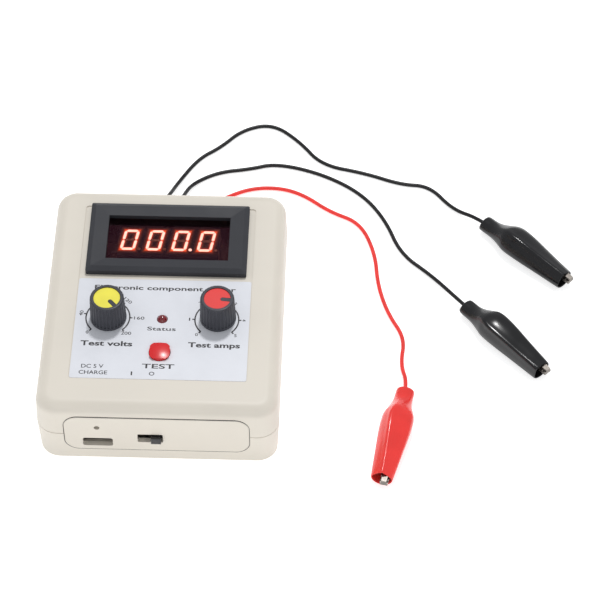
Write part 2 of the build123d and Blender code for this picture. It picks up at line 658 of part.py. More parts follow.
def start_button():
    """Domed button with a flange under the roof and a stem into the switch."""
    rise = FACE_Z + LABEL_T + BUTTON_RISE
    cap = rod(0, 0, ROOF_Z - 1.0, rise, BUTTON_R)
    cap = chamfer(cap.faces().sort_by(Axis.Z)[-1].edges(), 0.35)
    dome_r = BUTTON_R - 0.35
    sphere_r = (dome_r ** 2 + BUTTON_DOME ** 2) / (2 * BUTTON_DOME)
    dome = Pos(0, 0, rise + BUTTON_DOME - sphere_r) * Sphere(sphere_r)
    dome &= block(-dome_r, dome_r, -dome_r, dome_r, rise - 0.2, rise + BUTTON_DOME)
    flange = rod(0, 0, ROOF_Z - FACE_GAP - 1.0, ROOF_Z - FACE_GAP, BUTTON_FLANGE_R)
    stem_base = SWITCH_TOP_Z - 1.6
    stem = rod(0, 0, stem_base, ROOF_Z - 0.5, 1.75)
    return Pos(0, BUTTON_Y, 0) * (cap + dome + flange + stem)


def indicator_led():
    """Five-millimetre light with its two legs."""
    tip = FACE_Z + LABEL_T + LED_RISE + LED_R * 0.6
    shoulder = tip - LED_R
    body = rod(0, LED_Y, ROOF_Z - 1.5, shoulder, LED_R)
    body += Pos(0, LED_Y, shoulder) * Sphere(LED_R)
    body += rod(0, LED_Y, ROOF_Z - 1.5 - FACE_GAP, ROOF_Z - FACE_GAP - 0.5, 2.9)
    for x in (-1.27, 1.27):
        leg = block(x - 0.25, x + 0.25, LED_Y - 0.25, LED_Y + 0.25,
                    CONTROL_BOARD_Z + PCB_T + FACE_GAP, ROOF_Z - 1.5)
        body += leg
    return body


# ---------- front electronics ----------
CHARGE_BOARD_FRONT = -PANEL_BACK_Y + 0.6
CHARGE_SCREW_Y = CHARGE_BOARD_FRONT + CHARGE_BOARD_D - 3.0


def charge_board_screws():
    """X of the two screws."""
    return (USB_X - 9.0, SWITCH_X + 11.0)


def charge_board():
    """Board behind the front panel."""
    board = block(
        USB_X - 12.5, SWITCH_X + 14.5, CHARGE_BOARD_FRONT, CHARGE_BOARD_FRONT + CHARGE_BOARD_D,
        USB_BOARD_Z, USB_BOARD_Z + PCB_T,
    )
    for x in charge_board_screws():
        board -= rod(x, CHARGE_SCREW_Y, USB_BOARD_Z - 1, USB_BOARD_Z + 3, BOSS_HOLE_R + HOLE_GAP)
    return board


def usb_socket():
    """Charging socket: a flattened tube with its contact tongue."""
    z0 = USB_BOARD_Z + PCB_T + FACE_GAP
    zc = z0 + USB_H / 2
    y0 = CHARGE_BOARD_FRONT - 0.4
    y1 = y0 + USB_L
    socket = upright(USB_W, USB_H, USB_H / 2 - 0.05, USB_X, zc, y0, y1)
    socket -= upright(USB_W - 0.6, USB_H - 0.6, USB_H / 2 - 0.35, USB_X, zc, y0 - 1, y1 - 1.2)
    socket += block(USB_X - 3.3, USB_X + 3.3, y0 + 1.0, y1 - 1.0, zc - 0.35, zc + 0.35)
    return socket


def charge_led():
    """Small light behind its hole, on two legs."""
    tip = -PANEL_BACK_Y + 0.3
    body = rod_y(USB_X, tip + CHARGE_LED_R, tip + 5.0, CHARGE_Z, CHARGE_LED_R)
    body += Pos(USB_X, tip + CHARGE_LED_R, CHARGE_Z) * Sphere(CHARGE_LED_R)
    for x in (-1.0, 1.0):
        body += block(
            USB_X + x - 0.25, USB_X + x + 0.25, tip + 4.0, tip + 4.5,
            USB_BOARD_Z + PCB_T + FACE_GAP + USB_H + 0.3, CHARGE_Z,
        )
    foot = block(
        USB_X - 1.25, USB_X + 1.25, tip + 4.0, tip + 4.5,
        USB_BOARD_Z + PCB_T + FACE_GAP + USB_H + 0.2, USB_BOARD_Z + PCB_T + USB_H + 0.9,
    )
    return body + foot


SWITCH_FACE_Y = -PANEL_BACK_Y + 0.1
SWITCH_DEPTH = 5.5


def power_switch():
    """Slide switch: metal frame with a slot, and the cavity that the lever runs in."""
    y0 = SWITCH_FACE_Y
    half = SWITCH_SLOT_W / 2 + 1.6
    z0 = USB_BOARD_Z + PCB_T + FACE_GAP
    body = block(SWITCH_X - half, SWITCH_X + half, y0, y0 + SWITCH_DEPTH, z0, SWITCH_Z + SWITCH_SLOT_H / 2 + 0.8)
    run_w = LEVER_W + LEVER_TRAVEL + 0.4
    body -= block(
        SWITCH_X - run_w / 2, SWITCH_X + run_w / 2, y0 - 1, y0 + 3.8,
        SWITCH_Z - LEVER_H / 2 - 0.1, SWITCH_Z + LEVER_H / 2 + 0.1,
    )
    keep_w = run_w + 1.6
    body -= block(
        SWITCH_X - keep_w / 2, SWITCH_X + keep_w / 2, y0 + 1.2, y0 + 3.8,
        SWITCH_Z - LEVER_H / 2 - 0.1, SWITCH_Z + LEVER_H / 2 + 0.1,
    )
    return body


def power_switch_lever():
    """Sliding lever, in its off place at the right-hand end."""
    y0 = SWITCH_FACE_Y
    half = LEVER_W / 2
    z0, z1 = SWITCH_Z - LEVER_H / 2, SWITCH_Z + LEVER_H / 2
    lever = block(LEVER_X - half, LEVER_X + half, -PANEL_Y - LEVER_PROUD, y0 + 3.6, z0, z1)
    lever = fillet(lever.faces().sort_by(Axis.Y)[0].edges(), 0.4)
    lever += block(LEVER_X - half - 0.6, LEVER_X + half + 0.6, y0 + 1.4, y0 + 3.6, z0, z1)
    return lever


# ---------- power and high-voltage electronics ----------
def main_board():
    """Main circuit board on the lower shell's bosses."""
    y = (BOARD_FRONT + BOARD_BACK) / 2
    board = plate(BOARD_W, BOARD_BACK - BOARD_FRONT, 1.5, 0, y, BOARD_Z, BOARD_Z + PCB_T)
    for x in (-BOARD_SCREW_X, BOARD_SCREW_X):
        for sy in BOARD_SCREW_Y:
            board -= rod(x, sy, BOARD_Z - 1, BOARD_Z + 3, BOSS_HOLE_R + HOLE_GAP)
    return board


def board_screws():
    """Screws of the three boards."""
    parts = []
    head_z = BOARD_Z + PCB_T + FACE_GAP + 1.4
    for x in (-BOARD_SCREW_X, BOARD_SCREW_X):
        for y in BOARD_SCREW_Y:
            parts.append(screw(x, y, head_z, WALL + 0.5, BOSS_HOLE_R, 2.3, 1.4))
    head_z = USB_BOARD_Z + PCB_T + FACE_GAP + 1.4
    for x in charge_board_screws():
        parts.append(screw(x, CHARGE_SCREW_Y, head_z, WALL + 3, BOSS_HOLE_R, 2.3, 1.4))
    head_z = CONTROL_BOARD_Z - FACE_GAP - 1.4
    for y in control_posts():
        parts.append(screw(0, y, head_z, ROOF_Z - 3, BOSS_HOLE_R, 2.3, 1.4))
    return Compound(parts)


def battery_holder():
    """Open tray for one cell, on the case's floor."""
    z0 = WALL + FACE_GAP
    z1 = z0 + HOLDER_WALL + CELL_R * 1.5
    y0, y1 = CELL_Y - HOLDER_W / 2, CELL_Y + HOLDER_W / 2
    tray = block(-HOLDER_L / 2, HOLDER_L / 2, y0, y1, z0, z1)
    w = HOLDER_WALL
    tray -= block(-HOLDER_L / 2 + w, HOLDER_L / 2 - w, y0 + w, y1 - w, z0 + w, z1 + 1)
    for side in (-1, 1):
        x = side * (CELL_L / 2 + 1.6)
        tray += block(x - 1.0, x + 1.0, CELL_Y - 4, CELL_Y + 4, z0 + w - 0.1, z0 + 13)
    return tray


def battery_cell():
    """Lithium cell with its raised contact."""
    z = WALL + FACE_GAP + HOLDER_WALL + FACE_GAP + CELL_R
    cell = Pos(0, CELL_Y, z) * Rot(0, 90, 0) * Cylinder(CELL_R, CELL_L - 1.5)
    cell = fillet(cell.edges().filter_by(GeomType.CIRCLE), 0.6)
    cell += Pos(CELL_L / 2 - 0.5, CELL_Y, z) * Rot(0, 90, 0) * Cylinder(2.8, 1.0)
    return cell


TERMINAL_X0 = LEAD_X["lead_black_a"] - 5.0
TERMINAL_X1 = LEAD_X["lead_red"] + 5.0
TERMINAL_D = 8.0


def lead_terminal():
    """Three-way terminal block that the leads go into."""
    z0 = BOARD_Z + PCB_T + FACE_GAP
    body = block(TERMINAL_X0, TERMINAL_X1, TERMINAL_Y - TERMINAL_D, TERMINAL_Y, z0, EXIT_Z + 3.5)
    for x in LEAD_X.values():
        body -= rod(x, TERMINAL_Y - TERMINAL_D / 2, EXIT_Z + 2.0, EXIT_Z + 4, 1.8)
    return body


def boost_transformer():
    """Ferrite core and wound bobbin that make the test voltage."""
    z0 = BOARD_Z + PCB_T + FACE_GAP
    core = block(-33, -17, 20, 33, z0, z0 + 12.5)
    core -= block(-30, -20, 19, 34, z0 + 3.0, z0 + 9.5)
    bobbin = Pos(-25, 26.5, z0 + 6.25) * Rot(90, 0, 0) * Cylinder(3.4, 13.0)
    return core + bobbin


def hv_capacitors():
    """Reservoir capacitors, upright on the board."""
    z0 = BOARD_Z + PCB_T + FACE_GAP
    parts = []
    for x, y in ((8, 30), (20, 30), (32, 30), (20, 44)):
        can = rod(x, y, z0, z0 + 12.0, 4.0)
        parts.append(fillet(can.faces().sort_by(Axis.Z)[-1].edges(), 0.5))
    return Compound(parts)


# ---------- leads ----------
def grommets():
    """Rubber bushes in the rear panel's three holes."""
    parts = []
    for x in LEAD_X.values():
        bush = rod_y(x, PANEL_BACK_Y - GROMMET_LIP, PANEL_Y + LEVER_PROUD, EXIT_Z, GROMMET_NECK_R)
        bush += rod_y(x, PANEL_Y + FACE_GAP, PANEL_Y + LEVER_PROUD, EXIT_Z, GROMMET_FLANGE_R)
        bush += rod_y(x, PANEL_BACK_Y - GROMMET_LIP, PANEL_BACK_Y - FACE_GAP, EXIT_Z, GROMMET_FLANGE_R)
        outer = bush.faces().sort_by(Axis.Y)[-1]
        bush = fillet(outer.edges(), 0.6)
        bush -= rod_y(x, PANEL_BACK_Y - 5, CASE_D, EXIT_Z, GROMMET_BORE_R)
        parts.append(bush)
    return Compound(parts)


def clip_place(clip):
    """Location of a clip's own frame: x along it from the neck, z up from the table."""
    x, y, heading = CLIPS[clip]
    return Pos(x, y, 0) * Rot(0, 0, heading)


def lead(name):
    """Wire from the terminal block to the crimp inside its clip."""
    points = [Vector(*p) for p in ROUTES[name]]
    radii = []
    for before, corner, after in zip(points, points[1:], points[2:]):
        turn = (corner - before).get_angle(after - corner)
        shorter = min((corner - before).length, (after - corner).length)
        radii.append(0.45 * shorter / tan(radians(turn / 2)))
    path = FilletPolyline(*points, radius=radii)
    start = Plane(points[0], z_dir=points[1] - points[0])
    tube = sweep(start * Circle(WIRE_R), path=path)
    print(
        name, "length", round(path.length, 1), "radii", [round(r, 1) for r in radii],
        "volume share", round(tube.volume / (path.length * pi * WIRE_R ** 2), 4),
    )
    return tube


# ---------- clips ----------
def boot_form(inset):
    """Lofted form of a boot, thinner by inset all round."""
    sections = []
    for x, z, half_w, half_h in BOOT:
        plane = Plane((x, 0, z), x_dir=(0, 1, 0), z_dir=(1, 0, 0))
        sections.append(plane * Ellipse(half_w - inset, half_h - inset))
    return loft(sections, ruled=True)


def clip_boot():
    """Soft cover: closed round the wire at the neck, open at the mouth."""
    outer = boot_form(0)
    x0 = BOOT[1][0]
    hollow = boot_form(BOOT_WALL) - block(-5, x0, -20, 20, -20, 30)
    bore = Pos(0, 0, BOOT[1][1]) * Rot(0, 90, 0) * Cylinder(NECK_BORE_R, 2 * x0 + 2)
    return outer - hollow - bore


def jaw_profile(points):
    """Side view of a jaw, extruded to both sides of the jaws' own middle plane."""
    return make_face(Plane.XZ * Polyline(*points, close=True))


def jaw_plan(width):
    """Plan of a jaw, seen from above: parallel to TAPER_FROM, then narrower to the tip."""
    half = width / 2
    tip = half - TIP_NARROWER / 2
    outline = [(0, -half), (TAPER_FROM, -half), (JAW_TIP, -tip), (JAW_TIP, tip), (TAPER_FROM, half), (0, half)]
    return extrude(make_face(Polyline(*outline, close=True)), 20)


def channel(points, inner_points, width):
    """U-shaped jaw: the outline, less the room between its two cheeks."""
    solid = extrude(jaw_profile(points), width / 2, both=True) & jaw_plan(width)
    room_w = width - 2 * SHEET
    room = extrude(jaw_profile(inner_points), room_w / 2, both=True) & jaw_plan(room_w)
    return solid - room


def teeth(side):
    """Notches along a jaw's front edge."""
    notches = Part()
    for i in range(TEETH):
        x = JAW_TIP - 1.2 - i * 2 * TOOTH
        z = JAW_Z + side * JAW_GAP / 2
        outline = [(x - TOOTH / 2, z), (x, z + side * TOOTH * 0.7), (x + TOOTH / 2, z)]
        notches += extrude(jaw_profile(outline), LOWER_JAW_W, both=True)
    return notches


def ear(width):
    """Pair of round ears that the pin goes through."""
    middle = Pos(PIVOT_X, 0, JAW_Z) * Rot(90, 0, 0)
    return middle * Cylinder(EAR_R, width) - middle * Cylinder(EAR_R + 1, width - 2 * SHEET)


def lower_jaw():
    """Lower jaw with its handle and the crimp that holds the wire."""
    edge = JAW_Z - JAW_GAP / 2
    outline = [
        (17.5, 3.3), (21.5, 2.7), (33.0, 3.4), (JAW_TIP, 4.5), (JAW_TIP, edge),
        (34.0, edge), (31.0, edge - 0.9), (27.0, edge - 0.9), (24.0, 4.8), (18.0, 4.6),
    ]
    inner = [
        (15.0, 3.3 + SHEET), (21.5, 2.7 + SHEET), (33.0, 3.4 + SHEET), (JAW_TIP - SHEET, 4.5 + SHEET),
        (JAW_TIP - SHEET, 9.0), (15.0, 9.0),
    ]
    jaw = channel(outline, inner, LOWER_JAW_W) - teeth(-1)
    jaw += ear(LOWER_JAW_W)
    jaw -= Pos(PIVOT_X, 0, JAW_Z) * Rot(90, 0, 0) * Cylinder(PIN_R + RUNNING, 20)
    jaw -= block(PIVOT_X - 4, PIVOT_X + 4, -LOWER_JAW_W / 2 + SHEET, LOWER_JAW_W / 2 - SHEET, JAW_Z - 2.1, 12)
    jaw = Pos(0, JAW_SIDE, 0) * jaw
    z = BOOT[1][1]
    crimp = Pos(CRIMP_X + 3.0, 0, z) * Rot(0, 90, 0) * Cylinder(1.5, 6.0)
    strap = block(CRIMP_X + 4.0, 18.5, -1.2, 2.0, z - 1.7, z - 0.9)
    return jaw + crimp + strap


def upper_jaw():
    """Upper jaw with its handle."""
    edge = JAW_Z + JAW_GAP / 2
    outline = [
        (17.0, 10.8), (21.5, 12.1), (33.0, 9.6), (JAW_TIP, 7.8), (JAW_TIP, edge),
        (34.0, edge), (31.0, edge + 0.9), (27.0, edge + 0.9), (24.0, 9.6), (18.0, 9.4),
    ]
    inner = [
        (15.0, 10.8 - SHEET), (21.5, 12.1 - SHEET), (33.0, 9.6 - SHEET), (JAW_TIP - SHEET, 7.8 - SHEET),
        (JAW_TIP - SHEET, 3.0), (15.0, 3.0),
    ]
    jaw = channel(outline, inner, UPPER_JAW_W) - teeth(1)
    jaw += ear(UPPER_JAW_W)
    jaw -= Pos(PIVOT_X, 0, JAW_Z) * Rot(90, 0, 0) * Cylinder(PIN_R + RUNNING, 20)
    return Pos(0, JAW_SIDE, 0) * jaw


def clip_pin():
    """Rivet that the jaws turn on."""
    z = JAW_Z
    half = LOWER_JAW_W / 2
    pin = Pos(PIVOT_X, 0, z) * Rot(90, 0, 0) * Cylinder(PIN_R, LOWER_JAW_W + 0.8)
    for side in (-1, 1):
        y = side * (half + 0.25)
        pin += Pos(PIVOT_X, y, z) * Rot(90, 0, 0) * Cylinder(1.3, 0.4)
    return Pos(0, JAW_SIDE, 0) * pin


def clip_spring():
    """Coil round the pin that holds the jaws shut."""
    wire_r, coil_r, turns, pitch = 0.3, 1.35, 4, 0.65
    coil = Helix(pitch, pitch * turns, coil_r)
    section = Plane(coil @ 0, z_dir=coil % 0) * Circle(wire_r)
    spring = sweep(section, path=coil, is_frenet=True)
    return Pos(PIVOT_X, JAW_SIDE + pitch * turns / 2, JAW_Z) * Rot(90, 0, 0) * spring


def main():
    os.makedirs("parts", exist_ok=True)
    print("lever travel", round(LEVER_TRAVEL, 2), "lever x", round(LEVER_X, 2))
    nodes = {
        "lower_shell": lower_shell, "upper_shell": upper_shell,
        "front_panel": front_panel, "rear_panel": rear_panel,
        "face_label": face_label, "case_screws": case_screws,
        "meter_bezel": meter_bezel, "display_filter": display_filter,
        "display_block": display_block, "meter_board": meter_board,
        "control_board": control_board, "start_switch": start_switch,
        "start_button": start_button, "indicator_led": indicator_led,
        "charge_board": charge_board, "usb_socket": usb_socket, "charge_led": charge_led,
        "power_switch": power_switch, "power_switch_lever": power_switch_lever,
        "main_board": main_board, "board_screws": board_screws,
        "battery_holder": battery_holder, "battery_cell": battery_cell,
        "lead_terminal": lead_terminal, "boost_transformer": boost_transformer,
        "hv_capacitors": hv_capacitors, "lead_grommets": grommets,
    }
    for name, make in nodes.items():
        export(name, make())
    export("segments_lit", segments(True))
    export("segments_dark", segments(False))
    for side, pointer in (("voltage", VOLTAGE_POINTER), ("current", CURRENT_POINTER)):
        at = KNOB_AT[side]
        export(side + "_knob", knob(at, pointer))
        export(side + "_knob_cap", knob_cap(at, pointer))
        export(side + "_pot_shaft", pot_shaft(at))
        export(side + "_pot", pot(at))
        export(side + "_pot_nut", pot_nut(at))
    for name in ROUTES:
        export(name, lead(name))
    pieces = {
        "boot": clip_boot(), "lower_jaw": lower_jaw(), "upper_jaw": upper_jaw(),
        "pin": clip_pin(), "spring": clip_spring(),
    }
    for clip in CLIPS:
        for piece, shape in pieces.items():
            export(clip + "_" + piece, clip_place(clip) * shape)


main()
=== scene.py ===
from math import asin, cos, pi, radians, sin, tan

import bmesh
import bpy
from mathutils import Matrix, Vector


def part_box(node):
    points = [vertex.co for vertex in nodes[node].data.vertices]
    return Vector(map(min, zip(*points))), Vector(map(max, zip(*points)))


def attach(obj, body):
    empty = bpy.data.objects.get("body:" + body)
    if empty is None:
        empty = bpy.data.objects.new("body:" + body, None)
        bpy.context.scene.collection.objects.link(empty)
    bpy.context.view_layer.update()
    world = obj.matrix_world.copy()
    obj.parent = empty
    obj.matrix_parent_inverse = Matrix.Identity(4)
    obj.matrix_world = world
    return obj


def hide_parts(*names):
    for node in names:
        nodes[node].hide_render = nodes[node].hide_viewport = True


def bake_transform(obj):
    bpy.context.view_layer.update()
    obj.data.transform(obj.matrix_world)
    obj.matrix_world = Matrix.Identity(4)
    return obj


bl_info = {
    "name": "Component tester",
    "version": (1, 0, 0),
    "blender": (4, 5, 0),
    "location": "3D View > Sidebar > Tester",
    "description": "Bench tester with a red meter, two knobs and three crocodile-clip leads",
    "category": "Add Mesh",
}

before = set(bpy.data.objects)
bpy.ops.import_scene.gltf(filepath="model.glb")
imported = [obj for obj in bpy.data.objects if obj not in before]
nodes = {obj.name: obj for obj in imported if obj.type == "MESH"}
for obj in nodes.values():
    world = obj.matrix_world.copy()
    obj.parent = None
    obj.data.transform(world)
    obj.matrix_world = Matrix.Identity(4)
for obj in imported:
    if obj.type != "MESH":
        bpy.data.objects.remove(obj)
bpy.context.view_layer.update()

MM = 0.001

# The three leads. Each route is the centre line of its wire, from the terminal
# block inside the case to the crimp inside the clip's boot. "roll" is how far the
# boot is turned on its side, in degrees, at its thickest and at its mouth.
LEADS = {
    "lead_black_a": {
        "clip": "clip_black_a",
        "length": 0.2611,
        "vinyl": "black",
        "roll": (20.0, 14.0),
        "route": [
            (-0.010, 0.060, 0.014), (-0.010, 0.079, 0.014), (-0.0048, 0.093, 0.008),
            (-0.001, 0.1085, 0.0011), (0.009, 0.126, 0.0011), (0.020, 0.134, 0.0011),
            (0.031, 0.147, 0.0011), (0.047, 0.152, 0.0011), (0.062, 0.1395, 0.0011),
            (0.074, 0.123, 0.0011), (0.097, 0.118, 0.0011), (0.116, 0.1105, 0.0011),
            (0.131, 0.110, 0.0011), (0.143, 0.094, 0.0011), (0.15609, 0.08549, 0.0045),
            (0.16409, 0.07795, 0.0045),
        ],
    },
    "lead_black_b": {
        "clip": "clip_black_b",
        "length": 0.2475,
        "vinyl": "black",
        "roll": (42.0, 40.0),
        "route": [
            (0.0, 0.060, 0.014), (0.0, 0.079, 0.014), (0.0026, 0.094, 0.007),
            (0.0065, 0.108, 0.0011), (0.020, 0.1165, 0.0011), (0.036, 0.119, 0.0011),
            (0.050, 0.1235, 0.0011), (0.074, 0.117, 0.0011), (0.095, 0.104, 0.0011),
            (0.108, 0.086, 0.0011), (0.116, 0.063, 0.0011), (0.132, 0.049, 0.0011),
            (0.1458, 0.03015, 0.0045), (0.15323, 0.02204, 0.0045),
        ],
    },
    "lead_red": {
        "clip": "clip_red",
        "length": 0.2445,
        "vinyl": "red",
        "roll": (22.0, 0.0),
        "route": [
            (0.010, 0.060, 0.014), (0.010, 0.076, 0.014), (0.0145, 0.086, 0.007),
            (0.023, 0.098, 0.0011), (0.037, 0.1055, 0.0011), (0.052, 0.1065, 0.0011),
            (0.065, 0.102, 0.0011), (0.079, 0.0905, 0.0011), (0.095, 0.0835, 0.0011),
            (0.103, 0.063, 0.0011), (0.1045, 0.042, 0.0011), (0.110, 0.023, 0.0011),
            (0.1185, 0.008, 0.0011), (0.1163, -0.0085, 0.0011), (0.11983, -0.02299, 0.0045),
            (0.11754, -0.03375, 0.0045),
        ],
    },
}
CRIMP_DEPTH = 0.007         # from the end of a boot's neck to the end of its wire

# The boot's outer sections: how far along from the neck's end, height of the
# middle, half width, half height, how far the roof is pitched like a tent
# (0 to 1) and how high the crest stands. Millimetres.
BOOT_SECTIONS = [
    (0.3, 4.5, 4.2, 3.3, 0.0, 0.0),
    (0.9, 4.5, 4.55, 3.5, 0.0, 0.0),
    (3.0, 4.5, 4.65, 3.6, 0.0, 0.0),
    (6.5, 4.6, 4.55, 3.65, 0.0, 0.0),
    (10.0, 5.2, 5.05, 4.4, 0.1, 0.0),
    (13.5, 6.2, 6.2, 5.7, 0.4, 0.0),
    (16.0, 6.8, 7.2, 6.6, 0.45, 0.0),
    (17.6, 7.1, 7.8, 6.95, 0.45, 0.35),
    (19.0, 7.2, 8.1, 7.2, 0.45, 0.7),
    (21.0, 7.3, 8.3, 7.35, 0.45, 0.75),
    (25.0, 7.25, 8.25, 7.2, 0.55, 0.7),
    (30.0, 7.0, 7.9, 6.9, 0.7, 0.6),
    (37.0, 6.4, 7.1, 6.3, 0.75, 0.55),
    (45.0, 5.8, 6.3, 5.7, 0.75, 0.5),
    (50.5, 5.45, 5.8, 5.35, 0.6, 0.5),
    (54.5, 5.2, 5.42, 5.1, 0.5, 0.5),
]
THICKEST = 21.0             # distance along to the thickest section
BOOT_INSIDE = (52.5, 45.0, 36.0, 27.0, 20.0, 15.0, 11.0, 8.5)
CREST_ACROSS = (0.0, 0.7, 1.3, 1.9, 2.7)     # points over the crest, from its middle out
CREST_SHAPE = (1.0, 0.9, 0.62, 0.28, 0.0)     # share of the crest's height at each
NECK_MIDDLE = 4.5           # height of the wire's middle in a boot's neck

# The meter's digits: from one to the next, how tall and wide one is, how thick its
# bars are, how far the row stands off the block's middle and how much it leans.
DIGIT_PITCH = 12.7 * MM
DIGIT_H = 13.0 * MM
DIGIT_W = 7.4 * MM
DIGIT_BAR = 1.3 * MM
DIGIT_SHIFT = -0.3 * MM
DIGIT_LEAN = radians(9)
# The glow round the lit bars is painted into the block's face as emission.
HAZE_REACH = 3.0 * MM       # how far a lit bar's glow creeps

# The front panel's lip, hidden behind the shells, the radius of the panel's corners,
# and where the dark strip of painted shade lies in the joint: off the panel, wide, down and deep.
PANEL_LIP = 2.0 * MM
PANEL_CORNER = 7.0 * MM
SHADE_STRIP_GAP = 0.03 * MM
SHADE_STRIP_W = 0.17 * MM
SHADE_STRIP_DOWN = 0.15 * MM
SHADE_STRIP_DEEP = 1.0 * MM


def linear(code):
    """Linear colour, with alpha, of an sRGB hex code."""
    parts = [int(code[i:i + 2], 16) / 255 for i in (1, 3, 5)]
    bent = [c / 12.92 if c <= 0.04045 else ((c + 0.055) / 1.055) ** 2.4 for c in parts]
    return (*bent, 1.0)


def middle(node):
    """Centre of a CAD node's box."""
    low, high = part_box(node)
    return (low + high) / 2


class TesterSizes(bpy.types.PropertyGroup):
    """Sizes that a maker would change"""

    wire: bpy.props.FloatProperty(
        name="Wire", description="Diameter over the insulation",
        default=2.0 * MM, unit="LENGTH", precision=4)
    boot_wall: bpy.props.FloatProperty(
        name="Boot wall", description="Thickness of a clip's vinyl boot",
        default=0.9 * MM, unit="LENGTH", precision=4)
    ink: bpy.props.FloatProperty(
        name="Ink", description="Thickness of the ink on the label",
        default=0.02 * MM, unit="LENGTH", precision=5)
    dial: bpy.props.FloatProperty(
        name="Dial radius", description="Radius of the arc printed round each knob",
        default=10.6 * MM, unit="LENGTH", precision=4)
    dial_sweep: bpy.props.FloatProperty(
        name="Dial sweep", description="How far each dial's arc goes to either side",
        default=radians(135), subtype="ANGLE")
    line: bpy.props.FloatProperty(
        name="Line", description="Width of the printed lines",
        default=0.7 * MM, unit="LENGTH", precision=5)


class TesterColours(bpy.types.PropertyGroup):
    """Colours that a maker would change"""

    case: bpy.props.FloatVectorProperty(
        name="Case", description="Moulded ABS of the case", subtype="COLOR", size=4,
        default=linear("#DAD3C7"))
    label: bpy.props.FloatVectorProperty(
        name="Label", description="Ground colour of the printed overlay", subtype="COLOR", size=4,
        default=linear("#D9DBE2"))
    ink: bpy.props.FloatVectorProperty(
        name="Ink", description="Lettering and scales", subtype="COLOR", size=4,
        default=linear("#2E2C30"))
    bezel: bpy.props.FloatVectorProperty(
        name="Bezel", description="Frame round the meter", subtype="COLOR", size=4,
        default=linear("#36373C"))
    knob: bpy.props.FloatVectorProperty(
        name="Knob", description="Body of both knobs", subtype="COLOR", size=4,
        default=linear("#42434A"))
    voltage: bpy.props.FloatVectorProperty(
        name="Left cap", description="Cap of the voltage knob", subtype="COLOR", size=4,
        default=linear("#EDE23F"))
    current: bpy.props.FloatVectorProperty(
        name="Right cap", description="Cap of the current knob", subtype="COLOR", size=4,
        default=linear("#E31C18"))
    button: bpy.props.FloatVectorProperty(
        name="Button", description="Start button", subtype="COLOR", size=4,
        default=linear("#D81A1F"))
    black_vinyl: bpy.props.FloatVectorProperty(
        name="Black vinyl", description="Two boots and their wires", subtype="COLOR", size=4,
        default=linear("#111114"))
    red_vinyl: bpy.props.FloatVectorProperty(
        name="Red vinyl", description="One boot and its wire", subtype="COLOR", size=4,
        default=linear("#EE3A35"))


# ---------- materials ----------
def add(tree, kind, settings=None, links=None):
    """Add one node, give it its settings and feed its sockets."""
    made = tree.nodes.new("ShaderNode" + kind)
    for key, value in (settings or {}).items():
        if isinstance(key, int) or key in made.inputs:
            made.inputs[key].default_value = value
        else:
            setattr(made, key, value)
    for key, source in (links or {}).items():
        tree.links.new(source, made.inputs[key])
    return made


def new_material(name, shader_settings):
    """An empty material with its shader: gives the material, its tree and the shader."""
    material = bpy.data.materials.new(name)
    material.use_nodes = True
    tree = material.node_tree
    tree.nodes.clear()
    shader = add(tree, "BsdfPrincipled", shader_settings)
    add(tree, "OutputMaterial", links={"Surface": shader.outputs["BSDF"]})
    return material, tree, shader


def per_mm(size):
    """Texture scale that gives features of this many millimetres."""
    return 1 / (size * MM)


def skin(tree, shader, colour, grain, depth, patch=18.0, drift=0.04, rough=(0.4, 0.5), soft=2.0):
    """Surface of a moulded or coated part: a fine grain in relief, and slow drifts
    of colour and gloss from how the material flowed and was handled. Sizes in mm."""
    place = add(tree, "TexCoord").outputs["Object"]
    fine = add(tree, "TexNoise", {"Scale": per_mm(grain), "Detail": soft, "Roughness": 0.55},
               {"Vector": place})
    slow = add(tree, "TexNoise", {"Scale": per_mm(patch), "Detail": 3.0}, {"Vector": place})
    dark = tuple(c * (1 - 3 * drift) for c in colour[:3]) + (1.0,)
    light = tuple(min(1.0, c * (1 + drift)) for c in colour[:3]) + (1.0,)
    shade = add(tree, "ValToRGB", links={"Fac": slow.outputs["Fac"]})
    shade.color_ramp.elements[0].position = 0.3
    shade.color_ramp.elements[0].color = dark
    shade.color_ramp.elements[1].position = 0.7
    shade.color_ramp.elements[1].color = light
    gloss = add(tree, "MapRange", {"From Min": 0.3, "From Max": 0.7, "To Min": rough[0],
                                   "To Max": rough[1]}, {"Value": slow.outputs["Fac"]})
    bump = add(tree, "Bump", {"Strength": 1.0, "Distance": depth * MM},
               {"Height": fine.outputs["Fac"]})
    tree.links.new(shade.outputs["Color"], shader.inputs["Base Color"])
    tree.links.new(gloss.outputs["Result"], shader.inputs["Roughness"])
    tree.links.new(bump.outputs["Normal"], shader.inputs["Normal"])
    return place


def abs_spark_textured(colour):
    """Beige ABS from a spark-eroded mould: a fine even orange peel, half matt, that
    softens every highlight. The real grit is 0.1 mm; it is drawn at 0.45 mm to show."""
    material, tree, shader = new_material("abs_spark_textured", {"IOR": 1.53})
    skin(tree, shader, colour, grain=0.45, depth=0.012, patch=30, drift=0.012, rough=(0.42, 0.52))
    return material


def polycarbonate_overlay(colour):
    """Screen-printed polycarbonate film with a velvet face: nearly white, matt, with
    the faint mottle of the printed ground. The 0.08 mm velvet is drawn at 0.3 mm."""
    material, tree, shader = new_material("polycarbonate_overlay", {"IOR": 1.58})
    skin(tree, shader, colour, grain=0.3, depth=0.004, patch=9, drift=0.01, rough=(0.34, 0.44))
    return material


def screen_ink(colour):
    """Solvent ink laid through a mesh: flat black with a slight film thickness that
    dries unevenly, so that its gloss varies along a stroke."""
    material, tree, shader = new_material("screen_ink", {"IOR": 1.5})
    skin(tree, shader, colour, grain=0.25, depth=0.003, patch=2.5, drift=0.08, rough=(0.45, 0.65))
    return material


